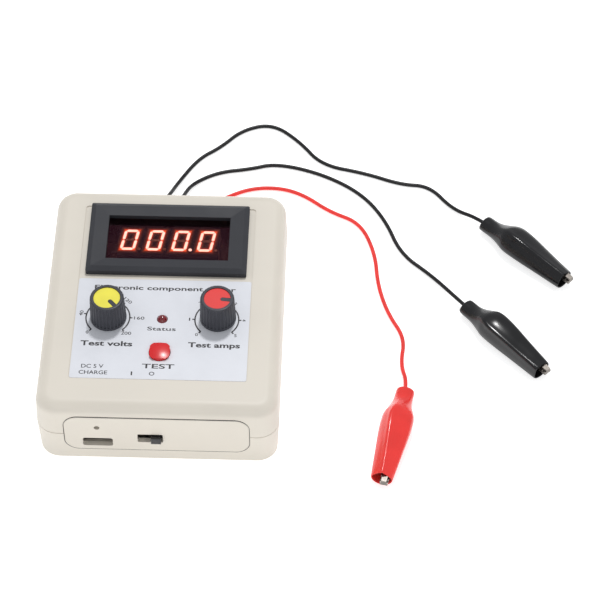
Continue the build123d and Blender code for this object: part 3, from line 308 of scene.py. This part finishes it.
def abs_satin(name, colour, rough=(0.34, 0.44), grain=0.35, depth=0.006):
    """Dark plastic from a stoned mould: satin, with a soft wide highlight."""
    material, tree, shader = new_material(name, {"IOR": 1.53, "Specular IOR Level": 0.25})
    skin(tree, shader, colour, grain, depth, patch=12, drift=0.03, rough=rough)
    return material


def acrylic_red_filter():
    """Cast acrylic tinted red, polished and coated against reflections, so that the
    room hardly shows in it: its index is set low for that."""
    material, tree, shader = new_material("acrylic_red_filter", {
        "Base Color": linear("#E0BDB8"), "Roughness": 0.03, "IOR": 1.1,
        "Transmission Weight": 1.0, "Specular IOR Level": 0.12})
    place = add(tree, "TexCoord").outputs["Object"]
    wave = add(tree, "TexNoise", {"Scale": per_mm(14), "Detail": 1.0}, {"Vector": place})
    bump = add(tree, "Bump", {"Strength": 1.0, "Distance": 0.004 * MM},
               {"Height": wave.outputs["Fac"]})
    tree.links.new(bump.outputs["Normal"], shader.inputs["Normal"])
    return material


def epoxy_display_block():
    """Grey-faced epoxy block of the digits, with a painted glow: emission round the lit
    segments stands in for their light creeping into the face, a tight red rim and a wide brown haze,
    and a faint glow lies over the rest of the face."""
    material, tree, shader = new_material("epoxy_display_block", {
        "Base Color": linear("#141015"), "Roughness": 0.6, "Emission Strength": 1.0,
        "Specular IOR Level": 0.15})
    low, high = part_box("segments_lit")
    block = middle("display_block")
    half_pitch, half_bar = DIGIT_PITCH / 2, DIGIT_BAR / 2
    row_start = block.x - 2 * DIGIT_PITCH + DIGIT_SHIFT
    place = add(tree, "SeparateXYZ", links={0: add(tree, "TexCoord").outputs["Object"]})
    up = add(tree, "Math", {"operation": "SUBTRACT", 1: (low.y + high.y) / 2},
             {0: place.outputs["Y"]}).outputs[0]
    lean = add(tree, "Math", {"operation": "MULTIPLY", 1: tan(DIGIT_LEAN)},
               {0: up}).outputs[0]
    straight = add(tree, "Math", {"operation": "SUBTRACT"},
                   {0: place.outputs["X"], 1: lean}).outputs[0]
    shifted = add(tree, "Math", {"operation": "SUBTRACT", 1: row_start},
                  {0: straight}).outputs[0]
    cell = add(tree, "Math", {"operation": "PINGPONG", 1: half_pitch}, {0: shifted}).outputs[0]
    across = add(tree, "Math", {"operation": "SUBTRACT", 0: half_pitch}, {1: cell}).outputs[0]
    side = add(tree, "Math", {"operation": "SUBTRACT", 1: DIGIT_W / 2 - half_bar},
               {0: across}).outputs[0]
    rise = add(tree, "Math", {"operation": "ABSOLUTE"}, {0: up}).outputs[0]
    end = add(tree, "Math", {"operation": "SUBTRACT", 1: DIGIT_H / 2 - half_bar},
              {0: rise}).outputs[0]
    edge = add(tree, "Math", {"operation": "MAXIMUM"}, {0: side, 1: end}).outputs[0]
    away = add(tree, "Math", {"operation": "ABSOLUTE"}, {0: edge}).outputs[0]
    glow = add(tree, "ValToRGB", links={"Fac": add(
        tree, "MapRange", {"From Min": 0.0, "From Max": HAZE_REACH}, {"Value": away}).outputs[0]})
    ramp = glow.color_ramp
    ramp.elements[0].position = 0.15
    ramp.elements[0].color = (1.5, 0.22, 0.07, 1)
    ramp.elements[1].position = 1.0
    ramp.elements[1].color = (0.022, 0.01, 0.02, 1)
    for at, tone in ((0.33, (0.45, 0.06, 0.03, 1)), (0.5, (0.13, 0.04, 0.03, 1)),
                     (0.75, (0.05, 0.02, 0.025, 1))):
        ramp.elements.new(at).color = tone
    tree.links.new(glow.outputs["Color"], shader.inputs["Emission Color"])
    return material


def lit_segment():
    """Light from a red LED bar through milky epoxy: a pale pink, because it is far
    brighter than the room, and a little uneven along a stroke."""
    material, tree, shader = new_material("epoxy_lit_segment", {
        "Base Color": linear("#FFE8DC"), "Roughness": 0.4, "Emission Strength": 1.9})
    place = add(tree, "TexCoord").outputs["Object"]
    patch = add(tree, "TexNoise", {"Scale": per_mm(2.4), "Detail": 1.0}, {"Vector": place})
    tone = add(tree, "ValToRGB", links={"Fac": patch.outputs["Fac"]})
    tone.color_ramp.elements[0].color = (1.0, 0.6, 0.5, 1)
    tone.color_ramp.elements[1].color = (1.0, 0.8, 0.7, 1)
    tree.links.new(tone.outputs["Color"], shader.inputs["Emission Color"])
    return material


def dim_segment():
    """The same milky epoxy with no light behind it: a faint warm grey bar, with a faint painted red
    glow in it.
    """
    material, tree, shader = new_material("epoxy_dim_segment", {
        "Emission Color": (0.16, 0.05, 0.03, 1), "Emission Strength": 0.35})
    skin(tree, shader, linear("#6A5552"), grain=0.4, depth=0.004, patch=3, drift=0.05)
    return material


def vinyl_dipped(name, colour, rough=(0.14, 0.2)):
    """Soft PVC formed on a dipping mandrel: smooth and very slightly wavy from draining,
    with a thin streak of light along its crest."""
    material, tree, shader = new_material(name, {
        "IOR": 1.53, "Specular IOR Level": 0.4})
    skin(tree, shader, colour, grain=5.0, depth=0.012, patch=9, drift=0.03, rough=rough, soft=1.0)
    return material


def vinyl_extruded(name, colour):
    """PVC insulation drawn through a die: satin, with the faint lay of the strands
    underneath showing as a slow wave."""
    material, tree, shader = new_material(name, {"IOR": 1.53, "Specular IOR Level": 0.3})
    skin(tree, shader, colour, grain=1.6, depth=0.02, patch=6, drift=0.04, rough=(0.34, 0.46))
    return material


def nickel_plated(name, colour="#8A847E", rough=(0.34, 0.5)):
    """Nickel-plated pressed steel: warm grey, half dull, with rolling marks and darker
    spots where the plating is thin."""
    material, tree, shader = new_material(name, {"Metallic": 1.0})
    skin(tree, shader, linear(colour), grain=0.9, depth=0.03, patch=1.8, drift=0.1, rough=rough)
    return material


def thermoplastic(name, colour, rough=(0.35, 0.5), grain=0.4, depth=0.006, patch=8, drift=0.03):
    """Moulded part in a plain coloured plastic, from a lightly textured mould."""
    material, tree, shader = new_material(name, {"IOR": 1.5})
    skin(tree, shader, colour, grain, depth, patch, drift, rough)
    return material


def epoxy_led(name, code, light=0.0):
    """Cast epoxy lens tinted its own colour: clear, round-ended, dark when unlit, with
    the pale flange of the die showing through."""
    material, tree, shader = new_material(name, {
        "IOR": 1.53, "Transmission Weight": 0.35, "Coat Weight": 0.6, "Coat Roughness": 0.05,
        "Emission Color": linear(code), "Emission Strength": light})
    skin(tree, shader, linear(code), grain=2.0, depth=0.004, patch=2.2, drift=0.2,
         rough=(0.08, 0.16), soft=0.5)
    return material


def solder_mask(name, mask, patch, track, haze=(0.0, 0.0, 0.0)):
    """Glass-epoxy board under solder mask: copper tracks in relief show as lighter
    lines, and the mask is glossy. A haze is a painted glow: a faint emission that stands in for
    light straying over the board from the digits beside it."""
    material, tree, shader = new_material(name, {
        "IOR": 1.55, "Specular IOR Level": 0.4, "Emission Strength": 1.0,
        "Emission Color": (*haze, 1.0)})
    place = skin(tree, shader, linear(mask), grain=0.6, depth=0.004, patch=10, drift=0.05,
                 rough=(0.22, 0.34))
    tracks = add(tree, "TexBrick", {"Scale": per_mm(2.0), "Mortar Size": 0.06,
                                    "Color1": linear(mask), "Color2": linear(patch),
                                    "Mortar": linear(track)}, {"Vector": place})
    tree.links.new(tracks.outputs["Color"], shader.inputs["Base Color"])
    return material


def paint(material, *names):
    """Give CAD nodes a material in place of the plain one they came with."""
    for name in names:
        held = nodes[name].material_slots
        if not held:
            nodes[name].data.materials.append(material)
        for place in held:
            place.material = material


def piece(name, mesh, material, body):
    """A new object in the scene, with its finish, on its body."""
    made = bpy.data.objects.new(name, mesh)
    bpy.context.scene.collection.objects.link(made)
    if not mesh.materials:
        mesh.materials.append(material)
    if body:
        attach(made, body)
    return made


# ---------- leads and boots ----------
def lead_curve(name, route, diameter):
    """The wire as one smooth spline through its route's control points."""
    curve = bpy.data.curves.new(name, "CURVE")
    curve.dimensions = "3D"
    spline = curve.splines.new("NURBS")
    spline.points.add(len(route) - 1)
    for point, at in zip(spline.points, route):
        point.co = (*at, 1.0)
    spline.order_u = 3
    spline.use_endpoint_u = True
    curve.resolution_u = 16
    curve.bevel_depth = diameter / 2
    curve.bevel_resolution = 5
    curve.use_fill_caps = True
    return curve


def clip_frame(route):
    """Matrix from a clip's own frame, x along it from the neck's end, to the case's."""
    last = Vector(route[-1])
    along = (last - Vector(route[-2])).normalized()
    start = last - along * CRIMP_DEPTH
    side = Vector((-along.y, along.x, 0))
    turn = Matrix((along, side, Vector((0, 0, 1)))).transposed().to_4x4()
    return Matrix.Translation((start.x, start.y, 0)) @ turn


def boot_ring(along, mid, half_w, half_h, pitch, crest, roll=0.0, sides=11):
    """Points round one section of the boot, from the crest round to the right."""
    reach = min(1.0, 0.55 * half_w / CREST_ACROSS[-1])
    right = []
    for across, share in zip(CREST_ACROSS, CREST_SHAPE):
        x = across * reach
        right.append((x, roof(x, half_w, half_h - crest, pitch) + crest * share))
    start = asin(right[-1][0] / half_w)
    for i in range(1, sides + 1):
        t = start + (pi - start) * i / sides
        x = half_w * sin(t)
        y = roof(x, half_w, half_h - crest, pitch) if t < pi / 2 else half_h * cos(t)
        right.append((x, y))
    left = [(-x, y) for x, y in reversed(right[1:-1])]
    turned = []
    for x, y in right + left:
        across = x / half_w * cos(roll) + y / half_h * sin(roll)
        up = y / half_h * cos(roll) - x / half_w * sin(roll)
        turned.append(Vector((along, -across * half_w, mid + up * half_h)) * MM)
    return turned


def roll_at(along, roll):
    """How far the boot is turned at a distance along it: none at the neck's end."""
    if along < THICKEST:
        return radians(roll[0]) * along / THICKEST
    share = (along - THICKEST) / (BOOT_SECTIONS[-1][0] - THICKEST)
    return radians(roll[0] + (roll[1] - roll[0]) * min(1.0, share))


def roof(x, half_w, half_h, pitch):
    """Height of the roof over the middle, between a round arch and a tent."""
    share = min(1.0, abs(x) / half_w)
    arch = (1 - share * share) ** 0.5
    tent = 1 - share ** 1.3
    return half_h * (arch + (tent - arch) * pitch)


def section_at(along):
    """The boot's outer section at any distance along it."""
    for a, b in zip(BOOT_SECTIONS, BOOT_SECTIONS[1:]):
        if along <= b[0]:
            t = (along - a[0]) / (b[0] - a[0])
            return tuple(p + (q - p) * t for p, q in zip(a, b))
    return BOOT_SECTIONS[-1]


def boot_mesh(name, place, wall, wire, roll):
    """Closed, smooth boot: outside from neck to mouth, round the lip and back inside."""
    bore = wire / 2 / MM + 0.15
    rings = [boot_ring(along, NECK_MIDDLE + rise, r, r, 0, 0) for along, rise, r in (
        (7.5, 0.05, bore), (3.0, 0.0, bore), (0.25, 0.0, bore), (0.0, 0.0, bore + 0.25),
        (0.0, 0.0, 2.3))]
    rings += [boot_ring(*s, roll_at(s[0], roll)) for s in BOOT_SECTIONS]
    thin = wall / MM
    along, mid, half_w, half_h, pitch, crest = BOOT_SECTIONS[-1]
    lean = roll_at(along, roll)
    for inset, share in ((0.12, 1.0), (thin - 0.15, 0.5)):
        rings.append(boot_ring(
            along + 0.5, mid, half_w - inset, half_h - inset, pitch, crest * share, lean))
    for inner in BOOT_INSIDE:
        along, mid, half_w, half_h, pitch, crest = section_at(inner)
        rings.append(boot_ring(along, mid, half_w - thin, half_h - thin, pitch * 0.8, 0,
                               roll_at(inner, roll)))
    mesh = bpy.data.meshes.new(name)
    form = bmesh.new()
    loops = [[form.verts.new(place @ p) for p in ring] for ring in rings]
    for one, two in zip(loops, loops[1:] + loops[:1]):
        count = len(one)
        for i in range(count):
            j = (i + 1) % count
            form.faces.new((one[i], one[j], two[j], two[i]))
    bmesh.ops.recalc_face_normals(form, faces=form.faces)
    for face in form.faces:
        face.smooth = True
    form.to_mesh(mesh)
    form.free()
    return mesh


def smoothed(name, mesh, levels):
    """The mesh after subdivision, as a mesh of its own."""
    holder = bpy.data.objects.new(name, mesh)
    bpy.context.scene.collection.objects.link(holder)
    bend = holder.modifiers.new("smooth", "SUBSURF")
    bend.levels = bend.render_levels = levels
    shown = holder.evaluated_get(bpy.context.evaluated_depsgraph_get())
    result = bpy.data.meshes.new_from_object(shown)
    bpy.data.objects.remove(holder)
    return result


# ---------- label print ----------
def ribbon(form, points, width, low, high):
    """Closed thin strip of even width along a line of flat points."""
    rims = []
    for i, at in enumerate(points):
        before = points[max(i - 1, 0)]
        after = points[min(i + 1, len(points) - 1)]
        run = (Vector(after) - Vector(before)).normalized()
        off = Vector((-run.y, run.x)) * width / 2
        left, right = Vector(at) + off, Vector(at) - off
        rims.append([form.verts.new((p.x, p.y, z)) for p, z in
                     ((left, low), (right, low), (right, high), (left, high))])
    for one, two in zip(rims, rims[1:]):
        for i in range(4):
            j = (i + 1) % 4
            form.faces.new((one[i], one[j], two[j], two[i]))
    form.faces.new(rims[0][::-1])
    form.faces.new(rims[-1])


def lettering(form, words, at, width, height, ink, face, turn=0.0, bold=0.0):
    """Words printed flat with their middle at a place, to a width and capital height."""
    text = bpy.data.curves.new("words", "FONT")
    text.body = words
    text.extrude = 0.01
    text.offset = bold
    text.resolution_u = 4
    holder = bpy.data.objects.new("words", text)
    bpy.context.scene.collection.objects.link(holder)
    mesh = bpy.data.meshes.new_from_object(
        holder.evaluated_get(bpy.context.evaluated_depsgraph_get()))
    xs = [v.co.x for v in mesh.vertices]
    top = max(v.co.y for v in mesh.vertices)
    sx, sy = width / (max(xs) - min(xs)), height / top
    centre_x = (max(xs) + min(xs)) / 2
    for v in mesh.vertices:
        flat = Vector(((v.co.x - centre_x) * sx, v.co.y * sy - height / 2))
        flat.rotate(Matrix.Rotation(turn, 2))
        v.co = (at[0] + flat.x, at[1] + flat.y, face + (ink if v.co.z > 0 else -ink / 4))
    form.from_mesh(mesh)
    bpy.data.objects.remove(holder)
    bpy.data.curves.remove(text)
    bpy.data.meshes.remove(mesh)


def dial(form, at, sizes, face, numbers):
    """Arc, ticks and numbers round one knob's place."""
    at = Vector(at) * MM
    low, high = face - sizes.ink / 4, face + sizes.ink

    def spot(angle, radius):
        return (at.x + radius * sin(angle), at.y + radius * cos(angle))

    steps = 48
    sweep = sizes.dial_sweep
    arc = [spot(-sweep + 2 * sweep * i / steps, sizes.dial) for i in range(steps + 1)]
    ribbon(form, arc, sizes.line, low, high)
    for angle, turn, words, width, radius in numbers:
        a = radians(angle)
        ribbon(form, [spot(a, sizes.dial), spot(a, sizes.dial + 1.3 * MM)], sizes.line, low, high)
        lettering(form, words, spot(a, radius * MM), width * MM, 1.8 * MM, sizes.ink, face,
                  radians(turn), 0.01)


# ---------- operators ----------
class TESTER_OT_stage(bpy.types.Operator):
    """Floor, soft lights and the camera"""

    bl_idname = "tester.stage"
    bl_label = "Set the stage"

    def execute(self, context):
        scene = context.scene
        self.floor(scene)
        self.lights(scene)
        self.camera(scene)
        scene.view_settings.view_transform = "Standard"
        return {"FINISHED"}

    def floor(self, scene):
        """Wide sheet of opal acrylic, lit from below so that it shows no shadows."""
        mesh = bpy.data.meshes.new("floor")
        form = bmesh.new()
        bmesh.ops.create_grid(form, x_segments=8, y_segments=8, size=3.0)
        form.to_mesh(mesh)
        form.free()
        material, tree, shader = new_material("acrylic_opal_sheet", {
            "IOR": 1.4, "Emission Color": (1, 1, 1, 1), "Emission Strength": 0.62,
            "Specular IOR Level": 0.0})
        skin(tree, shader, linear("#EDEDED"), grain=3.0, depth=0.01, patch=200, drift=0.002,
             rough=(0.8, 0.9))
        mesh.materials.append(material)
        floor = bpy.data.objects.new("floor", mesh)
        scene.collection.objects.link(floor)

    def lights(self, scene):
        """A small high lamp behind the object, a wide low one in front and a pale room."""
        world = bpy.data.worlds.new("room")
        world.use_nodes = True
        room = world.node_tree.nodes["Background"].inputs
        room["Color"].default_value = (0.97, 0.985, 1.0, 1)
        room["Strength"].default_value = 0.6
        scene.world = world
        aim = Vector((0.05, 0.02, 0.0))
        for name, at, size, power in (
                ("softbox", (0.15, 0.62, 1.56), 0.16, 12.0),
                ("fill_front", (0.1, -1.9, 0.9), 1.2, 5.0)):
            light = bpy.data.lights.new(name, "AREA")
            light.shape = "SQUARE"
            light.size = size
            light.energy = power
            lamp = bpy.data.objects.new(name, light)
            lamp.location = at
            lamp.rotation_euler = (aim - Vector(at)).to_track_quat("-Z", "Y").to_euler()
            scene.collection.objects.link(lamp)

    def camera(self, scene):
        """Long lens, from high in front of the case."""
        data = bpy.data.cameras.new("camera")
        data.sensor_width = 36.0
        data.lens = 153.6
        data.clip_start, data.clip_end = 0.05, 20.0
        camera = bpy.data.objects.new("camera", data)
        camera.location = (0.0895, -0.7840, 1.0081)
        aim = Vector((-0.01867, 0.62904, -0.77715))
        camera.rotation_euler = aim.to_track_quat("-Z", "Y").to_euler()
        scene.collection.objects.link(camera)
        scene.camera = camera


class TESTER_OT_leads(bpy.types.Operator):
    """The three wires, their boots and the clips inside them"""

    bl_idname = "tester.leads"
    bl_label = "Lay the leads and clips"

    def execute(self, context):
        sizes, colours = context.scene.tester_sizes, context.scene.tester_colours
        vinyl = {"black": colours.black_vinyl, "red": colours.red_vinyl}
        wires = {c: vinyl_extruded(f"vinyl_extruded_{c}", tuple(v)) for c, v in vinyl.items()}
        boots = {c: vinyl_dipped(f"vinyl_dipped_{c}", tuple(v)) for c, v in vinyl.items()}
        nickel = nickel_plated("nickel_plated_steel")
        for name, lead in LEADS.items():
            clip, tone = lead["clip"], lead["vinyl"]
            curve = lead_curve(name + "_wire", lead["route"], sizes.wire)
            wire = piece(name + "_wire", curve, wires[tone], "case")
            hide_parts(name)
            boot = self.boot(clip, lead, sizes, boots[tone])
            metal = [f"{clip}_{part}" for part in ("lower_jaw", "upper_jaw", "pin", "spring")]
            paint(nickel, *metal)
        return {"FINISHED"}

    def boot(self, clip, lead, sizes, material):
        """Vinyl boot over one clip, in place of the CAD boot, which is hidden."""
        place = clip_frame(lead["route"])
        cage = boot_mesh(clip + "_vinyl", place, sizes.boot_wall, sizes.wire, lead["roll"])
        mesh = smoothed("boot", cage, 2)
        mesh.name = clip + "_vinyl"
        mesh.materials.clear()
        boot = piece(clip + "_vinyl", mesh, material, None)
        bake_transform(boot)
        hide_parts(clip + "_boot")
        return boot


class TESTER_OT_case(bpy.types.Operator):
    """Finish of the shells, end panels and outside fittings"""

    bl_idname = "tester.case"
    bl_label = "Finish the case"

    def execute(self, context):
        colours = context.scene.tester_colours
        paint(abs_spark_textured(tuple(colours.case)),
              "lower_shell", "upper_shell", "front_panel", "rear_panel")
        rubber_and_painted_shade = thermoplastic("pvc_grommet_and_painted_shade", linear("#2A2A2C"), rough=(0.4, 0.55))
        paint(rubber_and_painted_shade, "lead_grommets")
        # A dark strip of painted shade in the joint round the front panel, in the same dark vinyl as
        # the grommets.
        self.painted_shade_strip(rubber_and_painted_shade)
        paint(nickel_plated("zinc_plated_steel", "#A9A8A4", (0.25, 0.4)), "case_screws",
              "board_screws")
        return {"FINISHED"}

    def painted_shade_strip(self, material):
        """Thin dark strip down in the joint round the front panel: painted shade that stands for the
        shadow in the gap, in the grommets' dark vinyl.
        """
        low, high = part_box("front_panel")
        centre = (low + high) / 2
        half = (high - low) / 2
        front = low.y + SHADE_STRIP_DOWN
        back = front + SHADE_STRIP_DEEP
        near, far = SHADE_STRIP_GAP, SHADE_STRIP_GAP + SHADE_STRIP_W
        sides = 64
        form = bmesh.new()
        rims = []
        for grow, y in ((near, front), (far, front), (far, back), (near, back)):
            r = PANEL_CORNER + grow
            arm_x = half.x - PANEL_LIP - PANEL_CORNER
            arm_z = half.z - PANEL_LIP - PANEL_CORNER
            rim = []
            for i in range(sides):
                a = 2 * pi * (i + 0.5) / sides
                x = arm_x * (1 if cos(a) > 0 else -1) + r * cos(a)
                z = arm_z * (1 if sin(a) > 0 else -1) + r * sin(a)
                rim.append(form.verts.new((centre.x + x, y, centre.z + z)))
            rims.append(rim)
        for one, two in zip(rims, rims[1:] + rims[:1]):
            for i in range(sides):
                j = (i + 1) % sides
                form.faces.new((one[i], one[j], two[j], two[i]))
        bmesh.ops.recalc_face_normals(form, faces=form.faces)
        mesh = bpy.data.meshes.new("panel_painted_shade_strip")
        form.to_mesh(mesh)
        form.free()
        piece("panel_painted_shade_strip", mesh, material, "case")


class TESTER_OT_label(bpy.types.Operator):
    """Printed overlay: title, dials, numbers and plain words"""

    bl_idname = "tester.label"
    bl_label = "Print the label"

    def execute(self, context):
        sizes, colours = context.scene.tester_sizes, context.scene.tester_colours
        paint(polycarbonate_overlay(tuple(colours.label)), "face_label")
        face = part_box("face_label")[1].z
        form = bmesh.new()
        for words, x, y, width, height, bold in (
                ("Electronic component tester", 0.3, 5.2, 69.0, 2.5, 0.022),
                ("Test volts", -25.9, -29.6, 25.0, 2.9, 0.028),
                ("Test amps", 25.8, -29.3, 25.0, 2.9, 0.028),
                ("Status", 0.0, -20.0, 13.8, 2.2, 0.012),
                ("TEST", -0.2, -42.8, 15.5, 2.7, 0.016),
                ("I", -12.6, -47.4, 0.7, 2.2, 0.012),
                ("O", -3.0, -47.3, 2.6, 2.2, 0.012),
                ("DC 5 V", -31.6, -43.5, 10.6, 2.2, 0.010),
                ("CHARGE", -31.0, -47.2, 13.6, 2.2, 0.010)):
            lettering(form, words, (x * MM, y * MM), width * MM, height * MM, sizes.ink, face,
                      bold=bold)
        dial(form, (-26.4, -13.7), sizes, face, (
            (-135, 0, "0", 1.3, 13.2), (-80, 80, "40", 3.2, 13.3), (-30, 30, "80", 3.2, 13.2),
            (40, -40, "120", 4.6, 14.0), (90, 0, "160", 5.0, 15.2), (135, 0, "200", 5.0, 13.4)))
        dial(form, (26.4, -13.7), sizes, face, (
            (-135, 0, "0", 1.3, 13.2), (-90, 0, "1", 0.6, 13.2), (-40, 40, "2", 1.2, 13.3),
            (40, -40, "3", 1.2, 13.3), (90, -90, "4", 1.2, 13.2), (135, 0, "5", 1.2, 13.3)))
        mesh = bpy.data.meshes.new("label_print")
        form.to_mesh(mesh)
        form.free()
        piece("label_print", mesh, screen_ink(tuple(colours.ink)), "case")
        return {"FINISHED"}


class TESTER_OT_display(bpy.types.Operator):
    """Meter: bezel, red window and digits"""

    bl_idname = "tester.display"
    bl_label = "Light the display"

    def execute(self, context):
        colours = context.scene.tester_colours
        paint(abs_satin("abs_satin_bezel", tuple(colours.bezel), rough=(0.5, 0.6)), "meter_bezel")
        paint(acrylic_red_filter(), "display_filter")
        paint(epoxy_display_block(), "display_block")
        paint(lit_segment(), "segments_lit")
        paint(dim_segment(), "segments_dark")
        return {"FINISHED"}


class TESTER_OT_controls(bpy.types.Operator):
    """Knobs, button, lamp, switch and socket"""

    bl_idname = "tester.controls"
    bl_label = "Finish the controls"

    def execute(self, context):
        colours = context.scene.tester_colours
        paint(abs_satin("phenolic_knob", tuple(colours.knob), rough=(0.3, 0.42), depth=0.01),
              "voltage_knob", "current_knob")
        paint(thermoplastic("abs_yellow_cap", tuple(colours.voltage)), "voltage_knob_cap")
        paint(thermoplastic("abs_red_cap", tuple(colours.current)), "current_knob_cap")
        paint(thermoplastic("abs_button", tuple(colours.button), rough=(0.22, 0.32)),
              "start_button")
        paint(epoxy_led("epoxy_red_lens", "#8E1022", light=0.12), "indicator_led")
        paint(epoxy_led("epoxy_charge_lens", "#7A1A20"), "charge_led")
        paint(thermoplastic("pbt_black_lever", linear("#1C1C1E")), "power_switch_lever", "start_switch")
        # The socket is painted near black as painted shade, so that the slot in the front panel reads
        # as a dark hollow.
        paint(nickel_plated("painted_shade_dark_steel", "#2C2C2E", (0.45, 0.6)), "usb_socket")
        paint(nickel_plated("nickel_plated_housing", "#B9B6B0"), "power_switch")
        return {"FINISHED"}


class TESTER_OT_inside(bpy.types.Operator):
    """Finish of the boards, the cell and the parts on them"""

    bl_idname = "tester.inside"
    bl_label = "Finish the inside"

    def execute(self, context):
        paint(solder_mask("fr4_green_mask", "#14512E", "#176236", "#2F8A4E"),
              "main_board", "control_board")
        # Black solder mask on the charging board, a real board colour, here also dark as painted shade
        # behind the socket in the panel's slot.
        paint(solder_mask("fr4_black_mask_and_painted_shade", "#0E0E10", "#111114", "#1B1B1F"),
              "charge_board")
        # The meter's board gets a faint painted glow, an emission standing in for light straying from
        # the digits.
        paint(solder_mask("fr4_meter_mask", "#0E0E10", "#111114", "#1B1B1F",
                          haze=(0.022, 0.008, 0.016)), "meter_board")
        paint(nickel_plated("turned_nickel_brass", "#BDB49C", (0.2, 0.32)),
              "voltage_pot_shaft", "current_pot_shaft", "voltage_pot_nut", "current_pot_nut")
        paint(nickel_plated("tinned_steel_can", "#A7ABA9", (0.28, 0.42)),
              "voltage_pot", "current_pot")
        paint(thermoplastic("pvc_cell_wrap", linear("#2E7A8C"), rough=(0.2, 0.3)), "battery_cell")
        paint(thermoplastic("nylon_holder", linear("#202022")), "battery_holder")
        paint(thermoplastic("nylon_terminal", linear("#2F6F3F")), "lead_terminal")
        paint(thermoplastic("sintered_ferrite", linear("#3A3A3C"), rough=(0.5, 0.7), depth=0.02),
              "boost_transformer")
        paint(thermoplastic("pvc_capacitor_sleeve", linear("#23304A"), rough=(0.2, 0.32)),
              "hv_capacitors")
        return {"FINISHED"}


class TESTER_PT_panel(bpy.types.Panel):
    """Everything the tester is built from, in order"""

    bl_idname = "TESTER_PT_panel"
    bl_label = "Component tester"
    bl_space_type = "VIEW_3D"
    bl_region_type = "UI"
    bl_category = "Tester"

    def draw(self, context):
        for group in (context.scene.tester_sizes, context.scene.tester_colours):
            box = self.layout.box()
            for name in group.__annotations__:
                box.prop(group, name)
        for step in STEPS:
            self.layout.operator(step.bl_idname)


STEPS = (TESTER_OT_stage, TESTER_OT_leads, TESTER_OT_case, TESTER_OT_label,
         TESTER_OT_display, TESTER_OT_controls, TESTER_OT_inside)
CLASSES = (TesterSizes, TesterColours, *STEPS, TESTER_PT_panel)


def register():
    """Make the properties, operators and panel known to Blender."""
    for made in CLASSES:
        bpy.utils.register_class(made)
    bpy.types.Scene.tester_sizes = bpy.props.PointerProperty(type=TesterSizes)
    bpy.types.Scene.tester_colours = bpy.props.PointerProperty(type=TesterColours)


def unregister():
    """Take them away again."""
    del bpy.types.Scene.tester_colours
    del bpy.types.Scene.tester_sizes
    for made in reversed(CLASSES):
        bpy.utils.unregister_class(made)


def main():
    """Build everything."""
    register()
    bpy.ops.tester.stage()
    bpy.ops.tester.leads()
    bpy.ops.tester.case()
    bpy.ops.tester.label()
    bpy.ops.tester.display()
    bpy.ops.tester.controls()
    bpy.ops.tester.inside()


if __name__ == "__main__":
    main()
